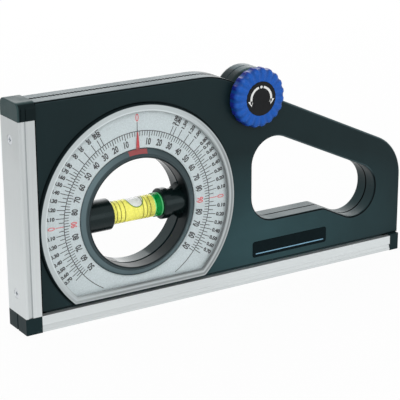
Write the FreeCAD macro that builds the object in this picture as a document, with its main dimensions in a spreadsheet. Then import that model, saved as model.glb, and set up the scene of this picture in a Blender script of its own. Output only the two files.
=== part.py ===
import FreeCAD, Part
import math
import os

import Sketcher
from FreeCAD import Placement, Rotation, Vector

# A hand-held slope level. A black two-part body with a carrying slot stands in two aluminium
# rails. A drum with a bubble vial turns in the body, behind a fixed scale, and a fluted
# knob turns the drum through an idler gear.
# Frame: X along the base, Y from the front face to the back, Z up, in millimetres.
# The origin is the centre of the base face.

DIMENSIONS = {
    # The whole level
    "overall_length": 200.0,
    "overall_height": 100.0,
    "overrun": 1.0,
    "seat_clearance": 0.1,
    "running_clearance": 0.06,
    # Aluminium rails, and the caps on their ends
    "rail_depth": 17.0,
    "rail_face": 7.4,
    "rail_wall": 1.6,
    "rail_lip": 1.05,
    "rail_lip_length": 1.5,
    "rail_edge_round": 0.5,
    "rail_groove_width": 2.1,
    "rail_groove_depth": 0.15,
    "rail_groove_fall": 0.35,
    "rail_groove_place_share": 0.16,
    "top_cap_height": 7.6,
    "top_cap_round": 3.0,
    "top_cap_edge_round": 0.5,
    "cap_line_width": 0.35,
    "cap_line_depth": 0.25,
    "cap_plug_length": 3.0,
    "cap_edge_round": 0.5,
    "corner_slit_width": 0.9,
    "corner_slit_depth": 0.6,
    "end_cap_length": 5.3,
    # Black body
    "body_thickness": 14.0,
    "body_edge_gap": 0.7,
    "body_overhang": 0.5,
    "body_top_drop": 0.7,
    "body_edge_round": 1.0,
    "seam_chamfer": 0.35,
    "slope_start": 95.9,
    "heel_height": 51.6,
    "shoulder_round": 36.0,
    "heel_round": 22.0,
    "grip_thickness": 15.0,
    "slot_left": 114.8,
    "slot_bottom": 28.2,
    "slot_dip_length": 30.1,
    "slot_dip_angle": 26.0,
    "slot_low_round": 12.0,
    "slot_high_round": 12.5,
    "slot_dip_round": 5.0,
    "slot_end_round_share": 0.98,
    "lobe_radius": 12.6,
    "lobe_edge_round": 3.0,
    # Dial, scale plate and clear cover
    "dial_place": 56.1,
    "dial_height": 44.1,
    "cover_radius": 48.15,
    "cover_flat_height": 8.8,
    "cover_corner_round": 3.0,
    "cover_stand_proud": 1.15,
    "cover_thickness": 0.7,
    "cover_rim_width": 3.2,
    "cover_rim_rise": 0.5,
    "cover_skirt": 1.2,
    "moat_width": 0.6,
    "recess_depth": 1.4,
    "plate_thickness": 0.5,
    # Drum with its two rings and gear
    "drum_radius": 28.3,
    "drum_ring_width": 4.0,
    "drum_front": 7.9,
    "drum_back": 6.6,
    "bezel_edge": 5.9,
    "bezel_slope_rise": 1.5,
    "bezel_lip_width": 1.1,
    "bezel_lip_round": 0.35,
    "drum_lip_width": 0.7,
    "drum_lip_rise": 0.15,
    "drum_groove_width": 1.2,
    "drum_groove_depth": 1.0,
    "drum_edge_chamfer": 0.3,
    "pointer_length": 7.5,
    "pointer_root": 1.7,
    "pointer_tip": 0.4,
    "pointer_thickness": 0.3,
    "pointer_patch_angle": 19.0,
    "pointer_patch_width": 1.9,
    "pointer_patch_thickness": 0.2,
    # Gears
    "gear_module": 1.0,
    "dial_teeth": 68,
    "pinion_teeth": 16,
    "idler_spare_share": 1.02,
    "gear_width": 3.0,
    "gear_backlash": 0.24,
    "gear_side_gap": 0.3,
    "gear_tip_gap": 0.5,
    "gear_pressure_angle": 20.0,
    "idler_pin_radius": 1.5,
    "idler_hub_radius": 3.4,
    "idler_hub_width": 3.4,
    "pin_depth": 3.0,
    # Bubble vial and its two holders
    "vial_drop": 0.4,
    "vial_radius": 5.0,
    "vial_bore_radius": 4.4,
    "vial_half_length": 19.0,
    "vial_end_wall": 1.2,
    "vial_plug_start": 10.4,
    "vial_spigot_length": 0.9,
    "vial_plug_radius": 5.3,
    "vial_liquid_gap": 0.05,
    "bubble_length": 8.5,
    "bubble_shift": 1.1,
    "bubble_depth": 3.2,
    "holder_radius": 6.9,
    "holder_neck_radius": 6.1,
    "holder_collar_length": 3.6,
    "holder_left_end": 11.6,
    "holder_right_end": 13.3,
    "holder_end_chamfer": 0.6,
    "holder_web_height": 9.4,
    "holder_web_width": 4.0,
    # Knob, shaft and bush
    "knob_place": 115.2,
    "knob_drop": 12.5,
    "knob_radius": 13.5,
    "knob_stand_off": 0.6,
    "knob_length": 5.6,
    "knob_face_rise": 0.5,
    "knob_shoulder_round": 3.0,
    "knob_flute_count": 20,
    "knob_flute_radius": 3.0,
    "knob_flute_depth": 0.6,
    "knob_flute_face_depth": 0.3,
    "knob_disc_radius": 7.6,
    "knob_disc_thickness": 1.0,
    "knob_disc_sink": 0.4,
    "knob_back_round": 0.9,
    "shaft_radius": 2.0,
    "shaft_tail": 5.2,
    "shaft_flat_depth": 0.5,
    "bush_radius": 3.5,
    "bush_flange_radius": 5.0,
    "bush_flange": 0.6,
    "friction_ring_radius": 4.2,
    "friction_ring_thickness": 0.9,
    # Name place, left bare
    "badge_length": 41.5,
    "badge_height": 7.4,
    "badge_centre": 136.0,
    "badge_middle": 15.2,
    "badge_thickness": 0.5,
    "badge_sink": 0.35,
    "badge_round": 1.2,
    # Screws
    "screw_radius": 1.2,
    "screw_head_radius": 2.1,
    "screw_head_height": 1.3,
    "screw_slot_width": 0.6,
    "screw_slot_depth": 0.6,
    "rail_screw_length": 9.0,
    "rail_screw_low": 16.5,
    "rail_screw_high": 83.5,
    "rail_screw_spacing": 84.0,
    "body_screw_length": 9.5,
    "body_screw_inset": 6.6,
    "body_screw_grip_place": 60.0,
    "body_screw_head_sink": 0.4,
}

doc = FreeCAD.newDocument("slope_level")
sheet = doc.addObject("Spreadsheet::Sheet", "Sizes")


class Size:
    """A length, angle or count: its value, and the sheet formula that it stays bound to."""

    def __init__(self, value, formula):
        self.value = value
        self.formula = formula

    def __add__(self, other):
        other = as_size(other)
        return Size(self.value + other.value, f"({self.formula} + {other.formula})")

    def __sub__(self, other):
        other = as_size(other)
        return Size(self.value - other.value, f"({self.formula} - {other.formula})")

    def __mul__(self, other):
        other = as_size(other)
        return Size(self.value * other.value, f"({self.formula} * {other.formula})")

    def __truediv__(self, other):
        other = as_size(other)
        return Size(self.value / other.value, f"({self.formula} / {other.formula})")

    def __neg__(self):
        return Size(-self.value, f"(0 - {self.formula})")


def as_size(thing):
    if isinstance(thing, Size):
        return thing
    if thing < 0:
        return Size(float(thing), f"(0 - {float(-thing)})")
    return Size(float(thing), f"{float(thing)}")


def root(size):
    return Size(math.sqrt(size.value), f"sqrt({size.formula})")


def tangent(angle):
    return Size(math.tan(math.radians(angle.value)), f"tan({angle.formula})")


def whole(size):
    """The next whole number up, for a count of teeth."""
    return Size(math.ceil(size.value), f"ceil({size.formula})")


class Named:
    """The driving dimensions, each an attribute that is a Size."""


def fill_sheet():
    named = Named()
    for row, (alias, number) in enumerate(DIMENSIONS.items(), start=1):
        sheet.set(f"A{row}", alias)
        sheet.set(f"B{row}", str(number))
        sheet.setAlias(f"B{row}", alias)
        setattr(named, alias, Size(number, f"{sheet.Name}.{alias}"))
    doc.recompute()
    return named


d = fill_sheet()
ZERO = as_size(0)

# Places and sizes that follow from the driving dimensions
half_length = d.overall_length / 2
half_depth = d.rail_depth / 2
half_body = d.body_thickness / 2
left = -half_length
right = half_length
body_left = left + d.rail_face + d.body_edge_gap
body_bottom = d.rail_face + d.body_edge_gap
body_top = d.overall_height - d.body_top_drop
body_right = right + d.body_overhang
slope_x = left + d.slope_start
slope_fall = (body_top - d.heel_height) / (body_right - slope_x)
slope_stretch = root(slope_fall * slope_fall + 1)
half_tongue = half_depth - d.rail_wall - d.rail_lip - d.seat_clearance
tongue_reach = d.rail_wall + d.seat_clearance * 2
chamber_half = half_depth - d.rail_wall
cap_start = d.overall_height - d.top_cap_height
end_cap_x = right - d.end_cap_length

dial_x = left + d.dial_place
dial_z = d.dial_height
knob_x = left + d.knob_place
knob_z = d.overall_height - d.knob_drop
recess_floor = half_body - d.recess_depth
plate_front = recess_floor + d.plate_thickness
cover_front = half_body + d.cover_stand_proud - d.cover_rim_rise
cover_back = cover_front - d.cover_thickness

# The bezel's face slopes from its outer edge up to the lip round its window
drum_wall = d.drum_radius - d.drum_ring_width
bezel_slope_end = drum_wall + d.bezel_lip_width
bezel_fall = d.bezel_slope_rise / (d.drum_radius - bezel_slope_end)
spigot_radius = drum_wall + d.drum_groove_depth

dial_pitch = d.gear_module * d.dial_teeth / 2
pinion_pitch = d.gear_module * d.pinion_teeth / 2
gear_half = d.gear_width / 2
gear_room = gear_half + d.gear_side_gap
tip_room = d.gear_module + d.gear_tip_gap

# The idler spans the space between the dial's gear and the pinion with a little to spare.
# Its centre is one pitch distance from the dial and one from the knob
link_x = knob_x - dial_x
link_z = knob_z - dial_z
link = root(link_x * link_x + link_z * link_z)
space = (link - dial_pitch - pinion_pitch) * d.idler_spare_share
idler_teeth = whole(space / d.gear_module)
idler_pitch = d.gear_module * idler_teeth / 2
dial_reach = dial_pitch + idler_pitch
knob_reach = pinion_pitch + idler_pitch
along = (dial_reach * dial_reach - knob_reach * knob_reach + link * link) / (link * 2)
aside = root(dial_reach * dial_reach - along * along)
idler_x = dial_x + (link_x * along - link_z * aside) / link
idler_z = dial_z + (link_z * along + link_x * aside) / link

vial_z = dial_z - d.vial_drop


# Helpers for bodies, sketches and features

def bind(thing, prop, size):
    setattr(thing, prop, size.value)
    thing.setExpression(prop, size.formula)


def new_body(label):
    body = doc.addObject("PartDesign::Body", label)
    body.Label = label
    return body


def new_sketch(body, name, role, at=(ZERO, ZERO, ZERO)):
    """A sketch on one of the body's own planes, with its origin moved along the plane's axes."""
    sketch = body.newObject("Sketcher::SketchObject", f"{body.Name}_{name}")
    plane = next(item for item in body.Origin.OriginFeatures if item.Role == role)
    sketch.AttachmentSupport = (plane, [""])
    sketch.MapMode = "FlatFace"
    sketch.AttachmentOffset = Placement(Vector(*(size.value for size in at)), Rotation())
    for axis, size in zip("xyz", at):
        sketch.setExpression(f"AttachmentOffset.Base.{axis}", size.formula)
    return sketch


def hold(sketch, shape, point, across, up):
    """Hold one point of a sketch at its place from the sketch's origin."""
    for kind, size, axis in (("DistanceX", across, -2), ("DistanceY", up, -1)):
        if size.formula == ZERO.formula:
            sketch.addConstraint(Sketcher.Constraint("PointOnObject", shape, point, axis))
            continue
        rule = Sketcher.Constraint(kind, -1, 1, shape, point, size.value)
        index = sketch.addConstraint(rule)
        sketch.setExpression(f"Constraints[{index}]", size.formula)


def hold_radius(sketch, shape, size):
    index = sketch.addConstraint(Sketcher.Constraint("Radius", shape, size.value))
    sketch.setExpression(f"Constraints[{index}]", size.formula)


def add_circle(sketch, across, up, radius):
    centre = Vector(across.value, up.value, 0)
    shape = sketch.addGeometry(Part.Circle(centre, Vector(0, 0, 1), radius.value), False)
    hold(sketch, shape, 3, across, up)
    hold_radius(sketch, shape, radius)


def direction(vector):
    return math.atan2(vector.y, vector.x)


def add_arc(sketch, centre, radius, first, last):
    """An arc that runs anticlockwise from one point to another, both about its centre."""
    circle = Part.Circle(centre, Vector(0, 0, 1), radius)
    arc = Part.ArcOfCircle(circle, direction(first - centre), direction(last - centre))
    return sketch.addGeometry(arc, False)


def corner_arc(before, corner, after, radius):
    """Where a round of this radius leaves each side of a corner, and its centre."""
    back = (before - corner).normalize()
    onward = (after - corner).normalize()
    half = math.acos(max(-1.0, min(1.0, back.dot(onward)))) / 2
    reach = radius / math.tan(half)
    centre = corner + (back + onward).normalize() * (radius / math.sin(half))
    return corner + back * reach, corner + onward * reach, centre


def add_outline(sketch, corners):
    """A closed outline of straight sides; each corner is (across, up, round or None)."""
    places = [Vector(across.value, up.value, 0) for across, up, _ in corners]
    count = len(corners)
    ends = []
    for index, (_, _, rounding) in enumerate(corners):
        place = places[index]
        if rounding is None:
            ends.append((place, place, None))
        else:
            following = places[(index + 1) % count]
            ends.append(corner_arc(places[index - 1], place, following, rounding.value))
    sides = []
    for index in range(count):
        line = Part.LineSegment(ends[index][1], ends[(index + 1) % count][0])
        sides.append(sketch.addGeometry(line, False))
    for index, (across, up, rounding) in enumerate(corners):
        arriving, leaving = sides[index - 1], sides[index]
        if rounding is None:
            sketch.addConstraint(Sketcher.Constraint("Coincident", arriving, 2, leaving, 1))
            hold(sketch, leaving, 1, across, up)
            continue
        before, after, centre = ends[index]
        turn = (before - centre).cross(after - centre).z
        if turn > 0:
            arc = add_arc(sketch, centre, rounding.value, before, after)
            near, far = 1, 2
        else:
            arc = add_arc(sketch, centre, rounding.value, after, before)
            near, far = 2, 1
        sketch.addConstraint(Sketcher.Constraint("Tangent", arriving, 2, arc, near))
        sketch.addConstraint(Sketcher.Constraint("Tangent", leaving, 1, arc, far))
        hold_radius(sketch, arc, rounding)
        corner = sketch.addGeometry(Part.Point(places[index]), True)
        hold(sketch, corner, 1, across, up)
        sketch.addConstraint(Sketcher.Constraint("PointOnObject", corner, 1, arriving))
        sketch.addConstraint(Sketcher.Constraint("PointOnObject", corner, 1, leaving))


def add_elbow(sketch, start, corner, finish, rounding):
    """An open path of two sides with a round between them."""
    places = [Vector(across.value, up.value, 0) for across, up in (start, corner, finish)]
    before, after, centre = corner_arc(*places, rounding.value)
    arriving = sketch.addGeometry(Part.LineSegment(places[0], before), False)
    leaving = sketch.addGeometry(Part.LineSegment(after, places[2]), False)
    if (before - centre).cross(after - centre).z > 0:
        arc = add_arc(sketch, centre, rounding.value, before, after)
        near, far = 1, 2
    else:
        arc = add_arc(sketch, centre, rounding.value, after, before)
        near, far = 2, 1
    sketch.addConstraint(Sketcher.Constraint("Tangent", arriving, 2, arc, near))
    sketch.addConstraint(Sketcher.Constraint("Tangent", leaving, 1, arc, far))
    hold_radius(sketch, arc, rounding)
    hold(sketch, arriving, 1, *start)
    hold(sketch, leaving, 2, *finish)
    sketch.addConstraint(Sketcher.Constraint("Horizontal", arriving))
    sketch.addConstraint(Sketcher.Constraint("Vertical", leaving))


def add_rectangle(sketch, low_across, low_up, high_across, high_up, rounding=None):
    add_outline(sketch, (
        (low_across, low_up, rounding),
        (high_across, low_up, rounding),
        (high_across, high_up, rounding),
        (low_across, high_up, rounding),
    ))


def add_dial_outline(sketch, inset):
    """The dial's outline, a circle with a flat cut off its foot, drawn in by an inset."""
    radius = d.cover_radius - inset
    flat = d.cover_flat_height + inset
    rounding = d.cover_corner_round
    centre = Vector(dial_x.value, dial_z.value, 0)
    drop = dial_z.value - flat.value - rounding.value
    reach = math.sqrt((radius.value - rounding.value) ** 2 - drop ** 2)
    pivots = [centre + Vector(side * reach, -drop, 0) for side in (1, -1)]
    rims = [centre + (pivot - centre).normalize() * radius.value for pivot in pivots]
    feet = [pivot - Vector(0, rounding.value, 0) for pivot in pivots]
    crown = add_arc(sketch, centre, radius.value, rims[0], rims[1])
    left_round = add_arc(sketch, pivots[1], rounding.value, rims[1], feet[1])
    right_round = add_arc(sketch, pivots[0], rounding.value, feet[0], rims[0])
    foot = sketch.addGeometry(Part.LineSegment(feet[1], feet[0]), False)
    hold(sketch, crown, 3, dial_x, dial_z)
    hold_radius(sketch, crown, radius)
    hold_radius(sketch, left_round, rounding)
    hold_radius(sketch, right_round, rounding)
    sketch.addConstraint(Sketcher.Constraint("Tangent", crown, 2, left_round, 1))
    sketch.addConstraint(Sketcher.Constraint("Tangent", left_round, 2, foot, 1))
    sketch.addConstraint(Sketcher.Constraint("Tangent", foot, 2, right_round, 1))
    sketch.addConstraint(Sketcher.Constraint("Tangent", right_round, 2, crown, 1))
    sketch.addConstraint(Sketcher.Constraint("Horizontal", foot))
    level = sketch.addConstraint(Sketcher.Constraint("DistanceY", -1, 1, foot, 1, flat.value))
    sketch.setExpression(f"Constraints[{level}]", flat.formula)


def add_feature(body, kind, name):
    feature = body.newObject(f"PartDesign::{kind}", f"{body.Name}_{name}")
    return feature


def check_removed(body, before, name):
    """A cut has to take something away."""
    doc.recompute()
    if body.Shape.Volume >= before - 1e-9:
        raise RuntimeError(f"{body.Label}: {name} removed nothing")


def pad(body, name, sketch, length, reverse=False, middle=False):
    feature = add_feature(body, "Pad", name)
    feature.Profile = sketch
    bind(feature, "Length", length)
    feature.Reversed = reverse
    if middle:
        feature.SideType = "Symmetric"
    doc.recompute()
    return feature


def pocket(body, name, sketch, depth, reverse=False, middle=False):
    before = body.Shape.Volume
    feature = add_feature(body, "Pocket", name)
    feature.Profile = sketch
    bind(feature, "Length", depth)
    feature.Reversed = reverse
    if middle:
        feature.SideType = "Symmetric"
    check_removed(body, before, name)
    return feature


def turn(body, name, sketch, axis="V_Axis", angle=None):
    """Turn a profile all the way round, or by half an angle to each side of its plane."""
    feature = add_feature(body, "Revolution", name)
    feature.Profile = sketch
    feature.ReferenceAxis = (sketch, [axis])
    if angle:
        feature.Midplane = True
        bind(feature, "Angle", angle)
    else:
        feature.Angle = 360.0
    doc.recompute()
    return feature


def bore(body, name, sketch, axis="V_Axis"):
    before = body.Shape.Volume
    feature = add_feature(body, "Groove", name)
    feature.Profile = sketch
    feature.ReferenceAxis = (sketch, [axis])
    feature.Angle = 360.0
    check_removed(body, before, name)
    return feature


def edge_names(shape, test):
    return [f"Edge{index}" for index, edge in enumerate(shape.Edges, start=1) if test(edge)]


def round_edges(body, name, radius, test, kind="Fillet"):
    base = body.Tip
    feature = add_feature(body, kind, name)
    feature.Base = (base, edge_names(base.Shape, test))
    bind(feature, "Radius" if kind == "Fillet" else "Size", radius)
    doc.recompute()
    return feature


def all_at(edge, pick, place):
    """Whether a whole edge lies at one place along X, Y or Z."""
    box = edge.BoundBox
    low, high = getattr(box, pick + "Min"), getattr(box, pick + "Max")
    return abs(low - place.value) < 1e-4 and abs(high - place.value) < 1e-4


def ring_profile(body, name, points, at=(ZERO, ZERO, ZERO)):
    """A half section (radius, along Y) beside an axis that runs front to back."""
    sketch = new_sketch(body, name, "XY_Plane", at)
    add_outline(sketch, points)
    return sketch


def sharp(*points):
    return [(across, up, None) for across, up in points]


def place_body(body, x, y, z):
    body.Placement = Placement(Vector(x.value, y.value, z.value), Rotation())
    for axis, size in zip("xyz", (x, y, z)):
        body.setExpression(f"Placement.Base.{axis}", size.formula)


# Rails and their caps

def rail_section():
    """Half of the rail's C section: (from its back, across its depth), for one side of the middle."""
    groove_start = d.rail_face * d.rail_groove_place_share
    groove_end = groove_start + d.rail_groove_width
    floor = half_depth - d.rail_groove_depth
    slant = d.rail_groove_depth
    mouth = half_tongue + d.seat_clearance
    lip_start = d.rail_face - d.rail_lip_length
    return (
        (ZERO, half_depth, d.rail_edge_round),
        (groove_start, half_depth, None),
        (groove_start + slant, floor, None),
        (groove_end - slant, floor - d.rail_groove_fall, None),
        (groove_end, half_depth, None),
        (d.rail_face, half_depth, None),
        (d.rail_face, mouth, None),
        (lip_start, mouth, None),
        (lip_start, chamber_half, None),
        (d.rail_wall, chamber_half, None),
    )


def rail_outline():
    half = rail_section()
    mirrored = [(across, -up, rounding) for across, up, rounding in reversed(half)]
    return list(half) + mirrored


def make_side_rail():
    """The upright rail at the left, open towards the body."""
    body = new_body("side_rail")
    section = new_sketch(body, "section", "XY_Plane", (left, ZERO, d.rail_face))
    add_outline(section, rail_outline())
    pad(body, "extrusion", section, cap_start - d.rail_face)
    for name, height in (("low", d.rail_screw_low), ("high", d.rail_screw_high)):
        hole = new_sketch(body, f"hole_{name}", "XY_Plane", (ZERO, ZERO, height))
        add_outline(hole, countersink_points(left))
        bore(body, f"countersink_{name}", hole, "H_Axis")
    return body


def make_base_rail():
    """The long rail that is the level's straight edge, open upwards."""
    body = new_body("base_rail")
    section = new_sketch(body, "section", "YZ_Plane", (ZERO, ZERO, left + d.rail_face))
    add_outline(section, [(up, across, rounding) for across, up, rounding in rail_outline()])
    pad(body, "extrusion", section, end_cap_x - left - d.rail_face)
    for index, place in enumerate(base_screw_places()):
        hole = new_sketch(body, f"hole_{index}", "YZ_Plane", (ZERO, ZERO, place))
        add_outline(hole, [(up, across, rounding) for across, up, rounding in countersink_points(ZERO)])
        bore(body, f"countersink_{index}", hole)
    return body


def countersink_points(face):
    """Half section of a screw's hole through a rail's back: (along the screw, radius)."""
    clear = d.screw_radius + d.seat_clearance
    wide = d.screw_head_radius + d.seat_clearance
    return sharp(
        (face - d.overrun, ZERO),
        (face + d.rail_wall + d.overrun, ZERO),
        (face + d.rail_wall + d.overrun, clear),
        (face + d.screw_head_height, clear),
        (face + d.seat_clearance, wide),
        (face - d.overrun, wide),
    )


def base_screw_places():
    middle = (left + d.rail_face + end_cap_x) / 2
    return (middle - d.rail_screw_spacing, middle, middle + d.rail_screw_spacing)


def make_top_end_cap():
    """The rounded cap on top of the upright rail, slotted for the body's tongue."""
    body = new_body("top_end_cap")
    cap_right = body_left - d.seat_clearance
    end = new_sketch(body, "end", "YZ_Plane", (ZERO, ZERO, left))
    add_outline(end, (
        (-half_depth, cap_start, None),
        (half_depth, cap_start, None),
        (half_depth, d.overall_height, d.top_cap_round),
        (-half_depth, d.overall_height, d.top_cap_round),
    ))
    pad(body, "block", end, cap_right - left)

    def left_edge(edge):
        return all_at(edge, "X", left) and edge.BoundBox.ZMax > (cap_start + d.overrun).value

    round_edges(body, "left_round", d.top_cap_edge_round, left_edge)
    lines = new_sketch(body, "lines", "XY_Plane", (ZERO, ZERO, cap_start - d.overrun))
    groove_start = left + d.rail_face * d.rail_groove_place_share
    floor = half_depth - d.cap_line_depth
    past = half_depth + d.overrun
    for start in (groove_start, groove_start + d.rail_groove_width):
        add_rectangle(lines, start, -past, start + d.cap_line_width, -floor)
        add_rectangle(lines, start, floor, start + d.cap_line_width, past)
    pocket(body, "line_cut", lines, d.top_cap_height + d.overrun * 2, reverse=True)
    slot = new_sketch(body, "slot", "XY_Plane", (ZERO, ZERO, cap_start - d.overrun))
    mouth = half_tongue + d.seat_clearance
    add_rectangle(slot, left + d.rail_wall, -mouth, cap_right + d.overrun, mouth)
    depth = d.top_cap_height - d.rail_wall + d.overrun
    pocket(body, "tongue_slot", slot, depth, reverse=True)
    return body


def add_plug(body, name, role, at, reverse=False):
    """A plug that fits a rail's chamber, beside the middle tongue's end."""
    sketch = new_sketch(body, name, role, at)
    low = d.rail_wall + d.seat_clearance
    high = d.rail_face - d.rail_lip_length - d.seat_clearance
    half = chamber_half - d.seat_clearance
    if role == "YZ_Plane":
        add_rectangle(sketch, -half, low, half, high)
    else:
        add_rectangle(sketch, left + low, -half, left + high, half)
    pad(body, f"{name}_pad", sketch, d.cap_plug_length + d.overrun, reverse)


def make_corner_cap():
    """The square cap where the two rails meet, with a plug into each of them."""
    body = new_body("corner_cap")
    face = new_sketch(body, "face", "XZ_Plane")
    corner = left + d.rail_face
    add_rectangle(face, left, ZERO, corner, d.rail_face)
    pad(body, "block", face, d.rail_depth, middle=True)

    def outer(edge):
        return all_at(edge, "X", left) and edge.BoundBox.ZLength > d.rail_wall.value

    round_edges(body, "edge_round", d.cap_edge_round, outer)
    slit = new_sketch(body, "slit", "YZ_Plane", (ZERO, ZERO, left))
    half = d.corner_slit_width / 2
    add_rectangle(slit, -half, -d.overrun, half, d.rail_face + d.overrun)
    pocket(body, "slit_cut", slit, d.corner_slit_depth, reverse=True)
    add_plug(body, "base_plug", "YZ_Plane", (ZERO, ZERO, corner - d.overrun))
    add_plug(body, "side_plug", "XY_Plane", (ZERO, ZERO, d.rail_face - d.overrun))
    return body


def make_base_end_cap():
    """The cap on the free end of the base rail, which also carries the body's corner."""
    body = new_body("base_end_cap")
    face = new_sketch(body, "face", "XZ_Plane")
    add_rectangle(face, end_cap_x, ZERO, right, body_bottom - d.seat_clearance)
    pad(body, "block", face, d.rail_depth, middle=True)

    def outer(edge):
        return all_at(edge, "X", right) and edge.BoundBox.ZLength > d.rail_wall.value

    round_edges(body, "edge_round", d.cap_edge_round, outer)
    add_plug(body, "base_plug", "YZ_Plane", (ZERO, ZERO, end_cap_x + d.overrun), reverse=True)
    return body


# Black body in two halves

def slot_corners():
    """The carrying slot: its upper side runs along the slope, and its foot dips at the right."""
    slot_x = left + d.slot_left
    end_x = body_right - d.grip_thickness
    dip_x = end_x - d.slot_dip_length
    lowered = d.grip_thickness * slope_stretch
    high_left = body_top - (slot_x - slope_x) * slope_fall - lowered
    high_right = body_top - (end_x - slope_x) * slope_fall - lowered
    low_right = d.slot_bottom - d.slot_dip_length * tangent(d.slot_dip_angle)
    # A round of radius 1 reaches this far along the end, from its upper and lower corner
    upper_reach = slope_stretch - slope_fall
    lower_reach = tangent((as_size(90) + d.slot_dip_angle) / 2)
    room = upper_reach + lower_reach
    end_round = (high_right - low_right) / room * d.slot_end_round_share
    return (
        (slot_x, d.slot_bottom, d.slot_low_round),
        (dip_x, d.slot_bottom, d.slot_dip_round),
        (end_x, low_right, end_round),
        (end_x, high_right, end_round),
        (slot_x, high_left, d.slot_high_round),
    )


def body_corners():
    return (
        (body_left, body_bottom, None),
        (body_right, body_bottom, None),
        (body_right, d.heel_height, d.heel_round),
        (slope_x, body_top, d.shoulder_round),
        (body_left, body_top, None),
    )


def body_screw_places():
    inset = d.body_screw_inset
    web = left + d.slot_left - inset
    run = d.body_screw_grip_place
    across = d.grip_thickness / 2
    grip_x = slope_x + (run - across * slope_fall) / slope_stretch
    grip_z = body_top - (run * slope_fall + across) / slope_stretch
    return (
        (body_left + inset, body_top - inset),
        (body_left + inset, body_bottom + inset),
        (web, body_bottom + inset),
        (web, dial_z),
        (grip_x, grip_z),
        (body_right - across, d.slot_bottom),
    )


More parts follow.
